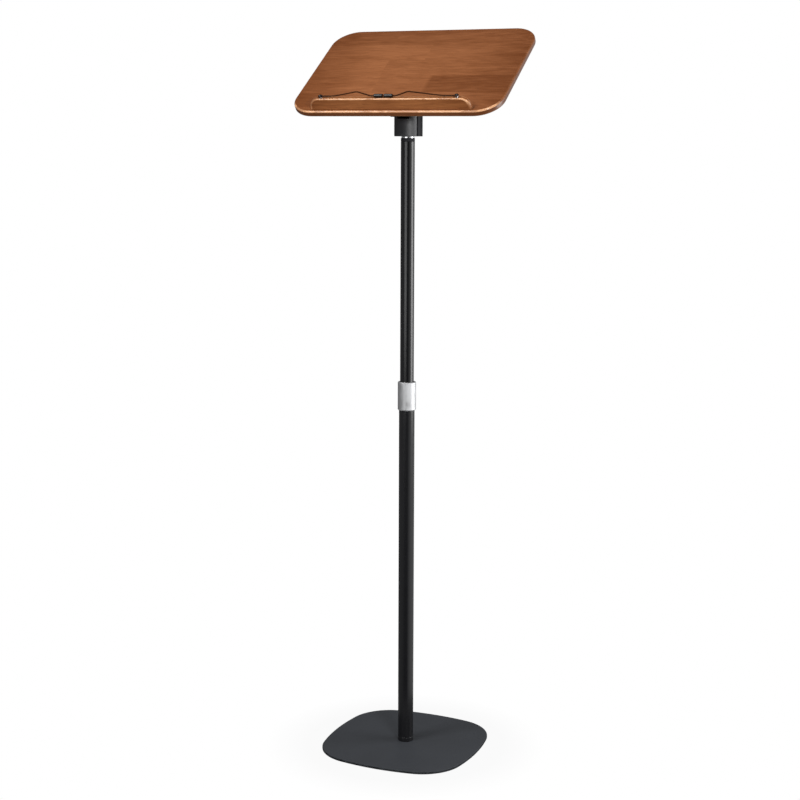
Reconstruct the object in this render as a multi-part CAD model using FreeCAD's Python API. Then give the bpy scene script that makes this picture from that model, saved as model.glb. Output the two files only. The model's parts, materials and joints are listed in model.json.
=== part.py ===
import FreeCAD, Part
import math
import os

# Floor-standing reading and laptop stand, in millimetres.
# The origin is on the floor under the pole; +X runs along the board's width,
# +Y points away from the reader and +Z is up.

# Clearances
PRESS_GAP = 0.05
RUNNING_GAP = 0.06
FACE_GAP = 0.1
FREE_GAP = 0.3
STOP_GAP = 0.5

# Base
BASE_SIZE = 281.0
BASE_EDGE_RADIUS = 400.0
BASE_CORNER_RADIUS = 80.0
BASE_THICKNESS = 5.0
BASE_EDGE_ROUND = 1.2
PAD_THICKNESS = 1.0
PAD_INSET = 3.0
BASE_BOLT_DIAMETER = 8.0
BASE_BOLT_HEAD_DIAMETER = 16.0
BASE_BOLT_LENGTH = 30.0
BASE_BOLT_SOCKET = 5.0
BASE_BOLT_SOCKET_DEPTH = 4.0
FOOT_BAND_HEIGHT = 8.0
FOOT_PLUG_DEPTH = 30.0

# Pole
LOWER_TUBE_DIAMETER = 28.0
LOWER_TUBE_WALL = 1.0
LOWER_TUBE_LENGTH = 627.5
GUIDE_SLEEVE_WALL = 0.6
GUIDE_FLANGE_HEIGHT = 1.5
UPPER_TUBE_WALL = 1.2
UPPER_TUBE_LENGTH = 510.0
TUBE_OVERLAP = 48.0
SLIDE_BUSH_FLANGE = 10.0
SLIDE_BUSH_DEPTH = 20.0
SLIDE_BUSH_BORE = 14.0

# Twist lock
COLLAR_HEIGHT = 51.0
COLLAR_SKIRT = 13.0
COLLAR_CHAMFER = 0.9
COLLAR_WALL = 1.2
COLLAR_LIP = 10.0
FERRULE_WALL = 1.0
FERRULE_SKIRT = 12.0
FERRULE_RISE = 10.0
THREAD_PITCH = 2.5
THREAD_DEPTH = 0.5
COLLET_SLOT_WIDTH = 1.2
COLLET_SLOT_COUNT = 4
COLLET_TIP_WALL = 0.9
COLLET_ROOT = 7.0

# Swivel
CAP_BAND_HEIGHT = 5.9
CAP_DEPTH = 20.0
NECK_STEP = 1.0
NECK_HEIGHT = 2.6
SPIGOT_SHANK_DIAMETER = 12.0
SPIGOT_PIN_DIAMETER = 16.0
SPIGOT_PIN_CHAMFER = 1.0
SPIGOT_GROOVE_HEIGHT = 3.6
SPIGOT_GROOVE_DEPTH = 1.5
SWIVEL_BUSH_WALL = 2.0
SWIVEL_BUSH_FLANGE = 1.0
SWIVEL_FLANGE_STEP = 0.8
SWIVEL_SCREW_DIAMETER = 4.0
SWIVEL_SCREW_TIP = 2.8
SWIVEL_SCREW_SOCKET = 2.0
SWIVEL_SCREW_SINK = 0.6

# Tilt head
HEAD_DIAMETER = 48.0
HEAD_FLAT_DEPTH = 2.5
HEAD_WEB_THICKNESS = 7.2
HEAD_EDGE_ROUND = 1.0
HINGE_ABOVE_HEAD = 48.5
COVER_GROOVE = 0.6
COVER_THICKNESS = 1.5
COVER_EDGE_ROUND = 0.5
COVER_RECESS_WIDTH = 9.0
COVER_RECESS_DEPTH = 0.7
HINGE_BOLT_DIAMETER = 8.0
HINGE_BOLT_HEAD_DIAMETER = 13.0
HINGE_BOLT_HEAD_HEIGHT = 4.8
HINGE_BOLT_SOCKET = 5.0
HINGE_BOLT_SOCKET_DEPTH = 2.4
HINGE_BOLT_RECESS = 6.2
FRICTION_WASHER_DIAMETER = 30.0
FRICTION_WASHER_THICKNESS = 1.0
KNOB_DIAMETER = 31.0
KNOB_THICKNESS = 9.0
KNOB_GRIP_COUNT = 10
KNOB_GRIP_DIAMETER = 6.0
KNOB_GRIP_DEPTH = 1.2
KNOB_EDGE_ROUND = 1.0
KNOB_FACE = 2.0
KNOB_INSERT_DIAMETER = 12.0
KNOB_WASHER_DIAMETER = 18.0
KNOB_WASHER_THICKNESS = 1.5

# Board
BOARD_WIDTH = 390.0
BOARD_DEPTH = 265.0
BOARD_THICKNESS = 11.0
BOARD_CORNER_RADIUS = 46.0
BOARD_EDGE_ROUND = 3.0
BOARD_TILT = 34.0
HINGE_TO_FRONT = 73.0
PLATE_SWING_GAP = 3.0
TONGUE_WIDTH = 20.0
TONGUE_RADIUS = 16.0
TONGUE_CLEARANCE = 2.3
TONGUE_BUSH_DIAMETER = 12.0
PLATE_WIDTH = 80.0
PLATE_DEPTH = 60.0
PLATE_THICKNESS = 3.0
PLATE_CORNER_RADIUS = 8.0
PLATE_SCREW_INSET = 9.0
PLATE_SCREW_COVER = 2.0
SCREW_DIAMETER = 4.0
SCREW_HEAD_DIAMETER = 8.0
SCREW_HEAD_HEIGHT = 2.4
SCREW_HEAD_ROUND = 1.2
SCREW_TIP_DIAMETER = 1.4
RECESS_WIDTH = 1.1
RECESS_SPAN = 4.2
RECESS_DEPTH = 1.4

# Ledge and page holders
LEDGE_BOTTOM_LENGTH = 299.0
LEDGE_TOP_LENGTH = 293.0
LEDGE_HEIGHT = 22.0
LEDGE_THICKNESS = 9.0
LEDGE_SETBACK = 4.5
LEDGE_CORNER_ROUND = 14.0
LEDGE_EDGE_ROUND = 2.0
LEDGE_GROOVE_DEPTH = 1.5
LEDGE_SCREW_COUNT = 3
PIVOT_TO_LEDGE_SCREW = 24.0
LEDGE_SCREW_COVER = 4.0
LEDGE_SCREW_HEAD_DIAMETER = 7.6
PIVOT_INSET = 21.0
PIVOT_SCREW_DIAMETER = 4.0
PIVOT_SCREW_DEPTH = 9.0
PIVOT_HEAD_DIAMETER = 5.8
PIVOT_HEAD_HEIGHT = 1.7
PIVOT_WASHER_DIAMETER = 6.5
PIVOT_WASHER_THICKNESS = 2.0
PIVOT_INSERT_DIAMETER = 6.0
PIVOT_INSERT_LENGTH = 10.0
HOLDER_MEETING_X = -7.0
HOLDER_TIP_GAP = 2.0
WIRE_DIAMETER = 2.3
WIRE_RISE = 8.5
WIRE_FLAT_LENGTH = 26.0
WIRE_PEAK_FROM_TIP = 46.5
WIRE_FOOT_FROM_TIP = 22.5
WIRE_RISE_RADIUS = 80.0
WIRE_PEAK_RADIUS = 12.0
WIRE_FOOT_RADIUS = 10.0
SLEEVE_DIAMETER = 6.4
SLEEVE_LENGTH = 16.0
SLEEVE_END_WALL = 1.0

# Levels that follow from the sizes above
PLATE_BOTTOM_Z = PAD_THICKNESS
BASE_TOP_Z = PAD_THICKNESS + BASE_THICKNESS
LOWER_TUBE_BOTTOM_Z = BASE_TOP_Z + FOOT_BAND_HEIGHT
LOWER_TUBE_TOP_Z = LOWER_TUBE_BOTTOM_Z + LOWER_TUBE_LENGTH
GUIDE_TOP_Z = LOWER_TUBE_TOP_Z + GUIDE_FLANGE_HEIGHT
UPPER_TUBE_BOTTOM_Z = LOWER_TUBE_TOP_Z - TUBE_OVERLAP
UPPER_TUBE_TOP_Z = UPPER_TUBE_BOTTOM_Z + UPPER_TUBE_LENGTH
COLLAR_BOTTOM_Z = LOWER_TUBE_TOP_Z - COLLAR_SKIRT
COLLAR_TOP_Z = COLLAR_BOTTOM_Z + COLLAR_HEIGHT
FERRULE_TOP_Z = LOWER_TUBE_TOP_Z + FERRULE_RISE
NECK_BOTTOM_Z = UPPER_TUBE_TOP_Z + CAP_BAND_HEIGHT
NECK_TOP_Z = NECK_BOTTOM_Z + NECK_HEIGHT
HEAD_BOTTOM_Z = NECK_TOP_Z + FREE_GAP
HINGE_Z = HEAD_BOTTOM_Z + HINGE_ABOVE_HEAD
SLOT_BOTTOM_Z = HINGE_Z - TONGUE_RADIUS - TONGUE_CLEARANCE
PIN_TOP_Z = SLOT_BOTTOM_Z - HEAD_WEB_THICKNESS
GROOVE_Z = (NECK_TOP_Z + PIN_TOP_Z) / 2

# Radii that follow from the sizes above
LOWER_RADIUS = LOWER_TUBE_DIAMETER / 2
LOWER_BORE_RADIUS = LOWER_RADIUS - LOWER_TUBE_WALL
GUIDE_BORE_RADIUS = LOWER_BORE_RADIUS - PRESS_GAP - GUIDE_SLEEVE_WALL
UPPER_RADIUS = GUIDE_BORE_RADIUS - RUNNING_GAP
UPPER_BORE_RADIUS = UPPER_RADIUS - UPPER_TUBE_WALL
FERRULE_BORE_RADIUS = LOWER_RADIUS + PRESS_GAP
FERRULE_RADIUS = FERRULE_BORE_RADIUS + FERRULE_WALL
COLLAR_BORE_RADIUS = FERRULE_RADIUS + FACE_GAP
COLLAR_RADIUS = COLLAR_BORE_RADIUS + COLLAR_WALL
COLLET_BORE_RADIUS = UPPER_RADIUS + FACE_GAP
NECK_RADIUS = UPPER_RADIUS - NECK_STEP
PIN_RADIUS = SPIGOT_PIN_DIAMETER / 2
SWIVEL_BUSH_RADIUS = PIN_RADIUS + RUNNING_GAP + SWIVEL_BUSH_WALL
SWIVEL_FLANGE_RADIUS = SWIVEL_BUSH_RADIUS + SWIVEL_FLANGE_STEP
HEAD_RADIUS = HEAD_DIAMETER / 2
HEAD_FLAT_X = HEAD_RADIUS - HEAD_FLAT_DEPTH

# Places along the hinge axis
SLOT_X = TONGUE_WIDTH / 2 + FRICTION_WASHER_THICKNESS + 2 * FACE_GAP
BOLT_SEAT_X = HEAD_FLAT_X - HINGE_BOLT_RECESS
KNOB_WASHER_X = -HEAD_FLAT_X - KNOB_WASHER_THICKNESS
KNOB_INNER_X = KNOB_WASHER_X - FACE_GAP
KNOB_OUTER_X = KNOB_INNER_X - KNOB_THICKNESS
KNOB_FLOOR_X = KNOB_OUTER_X + KNOB_FACE
BOLT_END_X = KNOB_FLOOR_X + FREE_GAP
BOLT_RECESS_RADIUS = HINGE_BOLT_HEAD_DIAMETER / 2 + FREE_GAP

# Places in the board's own frame: the hinge axis is the origin, y runs up the slope
# and z is square to the board
HINGE_TO_PLATE = HEAD_RADIUS + PLATE_SWING_GAP
BOARD_BOTTOM = HINGE_TO_PLATE + PLATE_THICKNESS
BOARD_TOP = BOARD_BOTTOM + BOARD_THICKNESS
BOARD_FRONT = -HINGE_TO_FRONT
LEDGE_FRONT = BOARD_FRONT + LEDGE_SETBACK
LEDGE_MIDDLE = LEDGE_FRONT + LEDGE_THICKNESS / 2
LEDGE_TOP = BOARD_TOP + LEDGE_HEIGHT
PLATE_SCREW_TIP = BOARD_TOP - PLATE_SCREW_COVER
LEDGE_SCREW_TIP = LEDGE_TOP - LEDGE_SCREW_COVER
PIVOT_X = LEDGE_TOP_LENGTH / 2 - PIVOT_INSET
OUTER_LEDGE_SCREW_X = PIVOT_X - PIVOT_TO_LEDGE_SCREW
WIRE_HEIGHT = LEDGE_TOP + PIVOT_WASHER_THICKNESS + FACE_GAP + WIRE_DIAMETER / 2
SLEEVE_HEIGHT = LEDGE_TOP + FREE_GAP + SLEEVE_DIAMETER / 2
EYE_RADIUS = PIVOT_SCREW_DIAMETER / 2 + RUNNING_GAP + WIRE_DIAMETER / 2
PIVOT_HEAD_SEAT = WIRE_HEIGHT + WIRE_DIAMETER / 2 + FACE_GAP

X_AXIS = FreeCAD.Vector(1, 0, 0)
Y_AXIS = FreeCAD.Vector(0, 1, 0)
Z_AXIS = FreeCAD.Vector(0, 0, 1)
ORIGIN = FreeCAD.Vector(0, 0, 0)
SAME_PLACE = 1e-6


def post(radius, z_low, z_high):
    """Upright round bar on the pole's axis."""
    return Part.makeCylinder(radius, z_high - z_low, FreeCAD.Vector(0, 0, z_low))


def ring(outer_radius, inner_radius, z_low, z_high):
    """Upright round tube on the pole's axis."""
    return post(outer_radius, z_low, z_high).cut(post(inner_radius, z_low, z_high))


def cone(low_radius, high_radius, z_low, z_high):
    """Upright cone on the pole's axis."""
    return Part.makeCone(low_radius, high_radius, z_high - z_low, FreeCAD.Vector(0, 0, z_low))


def bar(radius, x_low, x_high):
    """Round bar along the hinge axis, with the hinge as its origin."""
    return Part.makeCylinder(radius, x_high - x_low, FreeCAD.Vector(x_low, 0, 0), X_AXIS)


def block(x_low, x_high, y_low, y_high, z_low, z_high):
    """Box between two corners."""
    size = (x_high - x_low, y_high - y_low, z_high - z_low)
    return Part.makeBox(*size, FreeCAD.Vector(x_low, y_low, z_low))


def hexagon(across_flats, z_low, z_high):
    """Upright hexagonal prism on the Z axis."""
    corner = across_flats / math.sqrt(3)
    points = []
    for step in range(7):
        angle = math.radians(60 * step)
        points.append(FreeCAD.Vector(corner * math.cos(angle), corner * math.sin(angle), z_low))
    return Part.Face(Part.makePolygon(points)).extrude(Z_AXIS * (z_high - z_low))


def arc(start, through, end):
    """Circular edge through three points."""
    return Part.Arc(start, through, end).toShape()


def moved(shape, x=0.0, y=0.0, z=0.0):
    """Copy of a shape, shifted."""
    copy = shape.copy()
    copy.translate(FreeCAD.Vector(x, y, z))
    return copy


def turned(shape, axis, degrees):
    """Copy of a shape, turned about an axis through the origin."""
    copy = shape.copy()
    copy.rotate(ORIGIN, axis, degrees)
    return copy


def at_hinge(shape):
    """Put a shape made about the hinge axis at the hinge's height."""
    return moved(shape, z=HINGE_Z)


def on_board(shape):
    """Put a shape made in the board's own frame at the rest tilt."""
    return at_hinge(turned(shape, X_AXIS, BOARD_TILT))


def edges_at(shape, z):
    """Edges of a shape that lie wholly at one height."""
    found = []
    for edge in shape.Edges:
        box = edge.BoundBox
        if abs(box.ZMin - z) < SAME_PLACE and abs(box.ZMax - z) < SAME_PLACE:
            found.append(edge)
    return found


def edges_along(shape, axis):
    """Straight edges of a shape that run along an axis."""
    found = []
    for edge in shape.Edges:
        straight = isinstance(edge.Curve, (Part.Line, Part.LineSegment))
        if straight and abs(abs(edge.tangentAt(edge.FirstParameter).dot(axis)) - 1) < SAME_PLACE:
            found.append(edge)
    return found


def save(name, shape):
    """Write one node, with its solids, to its own file."""
    solids = shape.Solids
    if not solids or not all(solid.isValid() and solid.Volume > 0 for solid in solids):
        raise ValueError(f"{name} is not a sound solid")
    result = solids[0] if len(solids) == 1 else Part.makeCompound(solids)
    result.exportStep(f"parts/{name}.step")
    print(f"{name}: {len(solids)} solid, {sum(solid.Volume for solid in solids):.0f} mm3")


# Base and foot

def squircle_face(inset, z):
    """Rounded-square face whose four sides bulge slightly between large round corners."""
    half = BASE_SIZE / 2 - inset
    side_radius = BASE_EDGE_RADIUS - inset
    corner_radius = BASE_CORNER_RADIUS - inset
    offset = side_radius - half
    reach = side_radius - corner_radius
    corner_centre = (math.sqrt(2 * reach ** 2 - offset ** 2) - offset) / 2
    swing = math.atan2(corner_centre, corner_centre + offset)
    tangent_x = side_radius * math.cos(swing) - offset
    tangent_y = side_radius * math.sin(swing)
    diagonal = corner_centre + corner_radius / math.sqrt(2)
    side_start = FreeCAD.Vector(tangent_x, -tangent_y, z)
    side_middle = FreeCAD.Vector(half, 0, z)
    side_end = FreeCAD.Vector(tangent_x, tangent_y, z)
    corner_middle = FreeCAD.Vector(diagonal, diagonal, z)
    corner_end = FreeCAD.Vector(tangent_y, tangent_x, z)
    quarter = [arc(side_start, side_middle, side_end), arc(side_end, corner_middle, corner_end)]
    edges = []
    for step in range(4):
        edges.extend(turned(edge, Z_AXIS, 90 * step) for edge in quarter)
    return Part.Face(Part.Wire(Part.__sortEdges__(edges)))


def base_bolt_shape(gap):
    """Countersunk bolt pointing up from the plate's underside, grown by a gap for its hole."""
    radius = BASE_BOLT_DIAMETER / 2 + gap
    head_radius = BASE_BOLT_HEAD_DIAMETER / 2 + gap
    head_top = PLATE_BOTTOM_Z + head_radius - radius
    head = cone(head_radius, radius, PLATE_BOTTOM_Z, head_top)
    return head.fuse(post(radius, PLATE_BOTTOM_Z, PLATE_BOTTOM_Z + BASE_BOLT_LENGTH + gap))


def make_base_plate():
    """Heavy steel floor plate with a countersunk hole at its centre."""
    plate = squircle_face(0, PLATE_BOTTOM_Z).extrude(Z_AXIS * BASE_THICKNESS)
    rims = edges_at(plate, BASE_TOP_Z) + edges_at(plate, PLATE_BOTTOM_Z)
    plate = plate.makeFillet(BASE_EDGE_ROUND, rims)
    return plate.cut(base_bolt_shape(PRESS_GAP))


def make_base_pad():
    """Non-slip sheet under the plate; it also covers the bolt head."""
    return squircle_face(PAD_INSET, 0).extrude(Z_AXIS * PAD_THICKNESS)


def make_base_bolt():
    """Countersunk socket bolt that draws the foot plug down on the plate."""
    socket = hexagon(BASE_BOLT_SOCKET, PLATE_BOTTOM_Z, PLATE_BOTTOM_Z + BASE_BOLT_SOCKET_DEPTH)
    return base_bolt_shape(0).cut(socket)


def make_foot_plug():
    """Steel plug in the bottom of the lower tube, with a band that stands on the plate."""
    band = post(LOWER_RADIUS, BASE_TOP_Z, LOWER_TUBE_BOTTOM_Z)
    plug_top = LOWER_TUBE_BOTTOM_Z + FOOT_PLUG_DEPTH
    plug = post(LOWER_BORE_RADIUS - PRESS_GAP, LOWER_TUBE_BOTTOM_Z, plug_top)
    thread = post(BASE_BOLT_DIAMETER / 2 + PRESS_GAP, BASE_TOP_Z, plug_top)
    return band.fuse(plug).removeSplitter().cut(thread)


# Pole

def make_lower_tube():
    """Outer tube of the pole."""
    return ring(LOWER_RADIUS, LOWER_BORE_RADIUS, LOWER_TUBE_BOTTOM_Z, LOWER_TUBE_TOP_Z)


def make_guide_sleeve():
    """Plastic sleeve in the top of the lower tube; its lower end stops the slide bush."""
    low = UPPER_TUBE_BOTTOM_Z + STOP_GAP
    sleeve = ring(LOWER_BORE_RADIUS - PRESS_GAP, GUIDE_BORE_RADIUS, low, LOWER_TUBE_TOP_Z)
    flange = ring(LOWER_RADIUS, GUIDE_BORE_RADIUS, LOWER_TUBE_TOP_Z, GUIDE_TOP_Z)
    return sleeve.fuse(flange).removeSplitter()


def make_upper_tube():
    """Inner tube of the pole, which slides in the lower one."""
    return ring(UPPER_RADIUS, UPPER_BORE_RADIUS, UPPER_TUBE_BOTTOM_Z, UPPER_TUBE_TOP_Z)


def make_slide_bush():
    """Plastic plug on the bottom of the upper tube, running in the lower tube's bore."""
    flange_low = UPPER_TUBE_BOTTOM_Z - SLIDE_BUSH_FLANGE
    flange = post(LOWER_BORE_RADIUS - RUNNING_GAP, flange_low, UPPER_TUBE_BOTTOM_Z)
    plug_top = UPPER_TUBE_BOTTOM_Z + SLIDE_BUSH_DEPTH
    plug = post(UPPER_BORE_RADIUS - PRESS_GAP, UPPER_TUBE_BOTTOM_Z, plug_top)
    bore = post(SLIDE_BUSH_BORE / 2, flange_low, plug_top)
    return flange.fuse(plug).removeSplitter().cut(bore)


# Twist lock

def make_ferrule():
    """Threaded ring on the outside of the lower tube's top."""
    low = LOWER_TUBE_TOP_Z - FERRULE_SKIRT
    body = ring(FERRULE_RADIUS, FERRULE_BORE_RADIUS, low, FERRULE_TOP_Z)
    grooves = int((FERRULE_TOP_Z - low) / THREAD_PITCH) - 1
    for step in range(grooves):
        z = low + THREAD_PITCH * (step + 1)
        root = FERRULE_RADIUS - THREAD_DEPTH
        body = body.cut(ring(FERRULE_RADIUS + THREAD_DEPTH, root, z, z + THREAD_PITCH / 2))
    return body


def collet_cone(gap):
    """Low radius, high radius, low height and high height of the collet's taper, grown by a gap."""
    low_radius = FERRULE_RADIUS - THREAD_DEPTH + gap
    high_radius = COLLET_BORE_RADIUS + COLLET_TIP_WALL + gap
    return low_radius, high_radius, FERRULE_TOP_Z + FACE_GAP, COLLAR_TOP_Z - COLLAR_LIP - FREE_GAP


def make_collet():
    """Split plastic taper that grips the upper tube when the collar is screwed down."""
    low_radius, high_radius, z_low, z_high = collet_cone(0)
    spigot = post(FERRULE_BORE_RADIUS - FACE_GAP, GUIDE_TOP_Z, z_low)
    body = spigot.fuse(cone(low_radius, high_radius, z_low, z_high))
    body = body.cut(post(COLLET_BORE_RADIUS, GUIDE_TOP_Z, z_high))
    half = COLLET_SLOT_WIDTH / 2
    slot = block(0, low_radius, -half, half, z_low + COLLET_ROOT, z_high)
    for step in range(COLLET_SLOT_COUNT):
        body = body.cut(turned(slot, Z_AXIS, 360 * step / COLLET_SLOT_COUNT))
    return body


def make_lock_collar():
    """Aluminium twist collar; its inner taper closes the collet."""
    body = post(COLLAR_RADIUS, COLLAR_BOTTOM_Z, COLLAR_TOP_Z)
    rims = edges_at(body, COLLAR_TOP_Z) + edges_at(body, COLLAR_BOTTOM_Z)
    body = body.makeChamfer(COLLAR_CHAMFER, rims)
    low_radius, high_radius, z_low, z_high = collet_cone(FREE_GAP)
    body = body.cut(post(COLLAR_BORE_RADIUS, COLLAR_BOTTOM_Z, z_low))
    body = body.cut(cone(low_radius, high_radius, z_low, z_high + FREE_GAP))
    return body.cut(post(UPPER_RADIUS + FREE_GAP, z_low, COLLAR_TOP_Z))


# Swivel

def make_tube_cap():
    """Black plug in the top of the upper tube, with a band as wide as the tube."""
    band = post(UPPER_RADIUS, UPPER_TUBE_TOP_Z, NECK_BOTTOM_Z)
    low = UPPER_TUBE_TOP_Z - CAP_DEPTH
    plug = post(UPPER_BORE_RADIUS - PRESS_GAP, low, UPPER_TUBE_TOP_Z)
    bore = post(SPIGOT_SHANK_DIAMETER / 2 + PRESS_GAP, low, NECK_BOTTOM_Z)
    return band.fuse(plug).removeSplitter().cut(bore)


def make_spigot():
    """Chromed swivel pin: shank in the tube cap, visible neck, and pin in the head."""
    shank = post(SPIGOT_SHANK_DIAMETER / 2, UPPER_TUBE_TOP_Z - CAP_DEPTH, NECK_BOTTOM_Z)
    neck = post(NECK_RADIUS, NECK_BOTTOM_Z, NECK_TOP_Z)
    pin = post(PIN_RADIUS, NECK_TOP_Z, PIN_TOP_Z)
    pin = pin.makeChamfer(SPIGOT_PIN_CHAMFER, edges_at(pin, PIN_TOP_Z))
    low = GROOVE_Z - SPIGOT_GROOVE_HEIGHT / 2
    high = GROOVE_Z + SPIGOT_GROOVE_HEIGHT / 2
    groove = ring(PIN_RADIUS + FREE_GAP, PIN_RADIUS - SPIGOT_GROOVE_DEPTH, low, high)
    return shank.fuse(neck).fuse(pin.cut(groove)).removeSplitter()


def make_swivel_bush():
    """Flanged plastic bearing between the pin and the head."""
    flange_low = NECK_TOP_Z + FACE_GAP
    flange_high = flange_low + SWIVEL_BUSH_FLANGE
    body = post(SWIVEL_FLANGE_RADIUS, flange_low, flange_high)
    body = body.fuse(post(SWIVEL_BUSH_RADIUS, flange_high, PIN_TOP_Z)).removeSplitter()
    body = body.cut(post(PIN_RADIUS + RUNNING_GAP, flange_low, PIN_TOP_Z))
    return body.cut(swivel_screw_hole())


def swivel_screw_hole():
    """Radial hole at the back of the head for the swivel screw."""
    radius = SWIVEL_SCREW_DIAMETER / 2 + PRESS_GAP
    return Part.makeCylinder(radius, HEAD_RADIUS, FreeCAD.Vector(0, 0, GROOVE_Z), Y_AXIS)


def make_swivel_screw():
    """Dog-point grub screw that keeps the head on the pin and lets it turn."""
    tip_y = PIN_RADIUS - SPIGOT_GROOVE_DEPTH + FREE_GAP
    body_y = PIN_RADIUS + FREE_GAP
    end_y = HEAD_RADIUS - SWIVEL_SCREW_SINK
    tip = Part.makeCylinder(SWIVEL_SCREW_TIP / 2, body_y - tip_y, FreeCAD.Vector(0, tip_y, GROOVE_Z), Y_AXIS)
    start = FreeCAD.Vector(0, body_y, GROOVE_Z)
    body = Part.makeCylinder(SWIVEL_SCREW_DIAMETER / 2, end_y - body_y, start, Y_AXIS)
    socket = turned(hexagon(SWIVEL_SCREW_SOCKET, -SWIVEL_SCREW_SOCKET, 0), X_AXIS, -90)
    return tip.fuse(body).removeSplitter().cut(moved(socket, y=end_y, z=GROOVE_Z))


# Tilt head, made about the hinge axis where that is simpler

def head_outline():
    """Full round head, domed over the hinge so that the board's plate swings clear."""
    low = HEAD_BOTTOM_Z - HINGE_Z
    column = post(HEAD_RADIUS, low, HEAD_RADIUS)
    cheek = block(-HEAD_RADIUS, HEAD_RADIUS, -HEAD_RADIUS, HEAD_RADIUS, low, 0)
    cheek = cheek.fuse(bar(HEAD_RADIUS, -HEAD_RADIUS, HEAD_RADIUS))
    column = column.makeFillet(HEAD_EDGE_ROUND, edges_at(column, low))
    return column.common(cheek)


def head_slot():
    """Room for the tongue: open to the reader's side, with a floor that curves up at the back."""
    radius = HINGE_Z - SLOT_BOTTOM_Z
    front = block(-SLOT_X, SLOT_X, -HEAD_RADIUS, 0, -radius, HEAD_RADIUS)
    back = block(-SLOT_X, SLOT_X, 0, HEAD_RADIUS, 0, HEAD_RADIUS)
    return front.fuse(back).fuse(bar(radius, -SLOT_X, SLOT_X)).removeSplitter()


def make_head_housing():
    """Clevis on the swivel pin, with flats at both sides for the knob and the side cover."""
    low = HEAD_BOTTOM_Z - HINGE_Z
    flats = block(-HEAD_FLAT_X, HEAD_FLAT_X, -HEAD_RADIUS, HEAD_RADIUS, low, HEAD_RADIUS)
    body = head_outline().common(flats).cut(head_slot())
    body = body.cut(bar(HINGE_BOLT_DIAMETER / 2 + PRESS_GAP, -HEAD_FLAT_X, HEAD_FLAT_X))
    body = at_hinge(body.cut(bar(BOLT_RECESS_RADIUS, BOLT_SEAT_X, HEAD_FLAT_X)))
    flange_top = NECK_TOP_Z + FACE_GAP + SWIVEL_BUSH_FLANGE + PRESS_GAP
    body = body.cut(post(SWIVEL_FLANGE_RADIUS + FREE_GAP, HEAD_BOTTOM_Z, flange_top))
    body = body.cut(post(SWIVEL_BUSH_RADIUS + PRESS_GAP, HEAD_BOTTOM_Z, PIN_TOP_Z + FREE_GAP))
    return body.cut(swivel_screw_hole())


def make_side_cover():
    """Snap-in plate over the bolt head, as wide as the head's flat, with an upright recess."""
    inner_x = HEAD_FLAT_X + COVER_GROOVE
    outer_x = inner_x + COVER_THICKNESS
    half = math.sqrt(HEAD_RADIUS ** 2 - HEAD_FLAT_X ** 2)
    low = -HINGE_ABOVE_HEAD
    dome = bar(HEAD_RADIUS, inner_x, outer_x)
    dome = dome.common(block(inner_x, outer_x, -half, half, low, HEAD_RADIUS))
    plate = dome.fuse(block(inner_x, outer_x, -half, half, low, 0)).removeSplitter()
    rims = [edge for edge in plate.Edges if edge.BoundBox.XMin > outer_x - FACE_GAP]
    plate = plate.makeFillet(COVER_EDGE_ROUND, rims)
    half_recess = COVER_RECESS_WIDTH / 2
    floor_x = outer_x - COVER_RECESS_DEPTH
    plate = plate.cut(block(floor_x, outer_x, -half_recess, half_recess, low, HEAD_RADIUS))
    peg = bar(BOLT_RECESS_RADIUS - PRESS_GAP, BOLT_SEAT_X + HINGE_BOLT_HEAD_HEIGHT + FREE_GAP, inner_x)
    return at_hinge(plate.fuse(peg).removeSplitter())


def make_hinge_bolt():
    """Socket bolt on the tilt axis; the knob's insert runs on its far end."""
    head_end = BOLT_SEAT_X + HINGE_BOLT_HEAD_HEIGHT
    head = bar(HINGE_BOLT_HEAD_DIAMETER / 2, BOLT_SEAT_X, head_end)
    shank = bar(HINGE_BOLT_DIAMETER / 2, BOLT_END_X, BOLT_SEAT_X)
    socket = turned(hexagon(HINGE_BOLT_SOCKET, -HINGE_BOLT_SOCKET_DEPTH, 0), Y_AXIS, 90)
    return at_hinge(head.fuse(shank).removeSplitter().cut(moved(socket, x=head_end)))


def make_friction_washers():
    """Pair of washers between the tongue and the two cheeks."""
    inner = TONGUE_WIDTH / 2 + FACE_GAP
    outer = inner + FRICTION_WASHER_THICKNESS
    washer = bar(FRICTION_WASHER_DIAMETER / 2, inner, outer)
    washer = washer.cut(bar(HINGE_BOLT_DIAMETER / 2 + PRESS_GAP, inner, outer))
    return at_hinge(Part.makeCompound([washer, turned(washer, Z_AXIS, 180)]))


def make_knob_washer():
    """Steel washer between the knob and the left flat."""
    washer = bar(KNOB_WASHER_DIAMETER / 2, KNOB_WASHER_X, -HEAD_FLAT_X)
    bolt_hole = bar(HINGE_BOLT_DIAMETER / 2 + PRESS_GAP, KNOB_WASHER_X, -HEAD_FLAT_X)
    return at_hinge(washer.cut(bolt_hole))


def make_tilt_knob():
    """Round grip that sets the hinge's friction, scalloped round its rim."""
    body = Part.makeCylinder(KNOB_DIAMETER / 2, KNOB_THICKNESS)
    body = body.makeFillet(KNOB_EDGE_ROUND, edges_at(body, 0) + edges_at(body, KNOB_THICKNESS))
    grip_radius = KNOB_GRIP_DIAMETER / 2
    grip_centre = KNOB_DIAMETER / 2 + grip_radius - KNOB_GRIP_DEPTH
    grip = Part.makeCylinder(grip_radius, KNOB_THICKNESS, FreeCAD.Vector(grip_centre, 0, 0))
    for step in range(KNOB_GRIP_COUNT):
        body = body.cut(turned(grip, Z_AXIS, 360 * step / KNOB_GRIP_COUNT))
    pocket_depth = KNOB_THICKNESS - KNOB_FACE
    body = body.cut(Part.makeCylinder(KNOB_INSERT_DIAMETER / 2 + PRESS_GAP, pocket_depth))
    return at_hinge(moved(turned(body, Y_AXIS, -90), x=KNOB_INNER_X))


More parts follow.
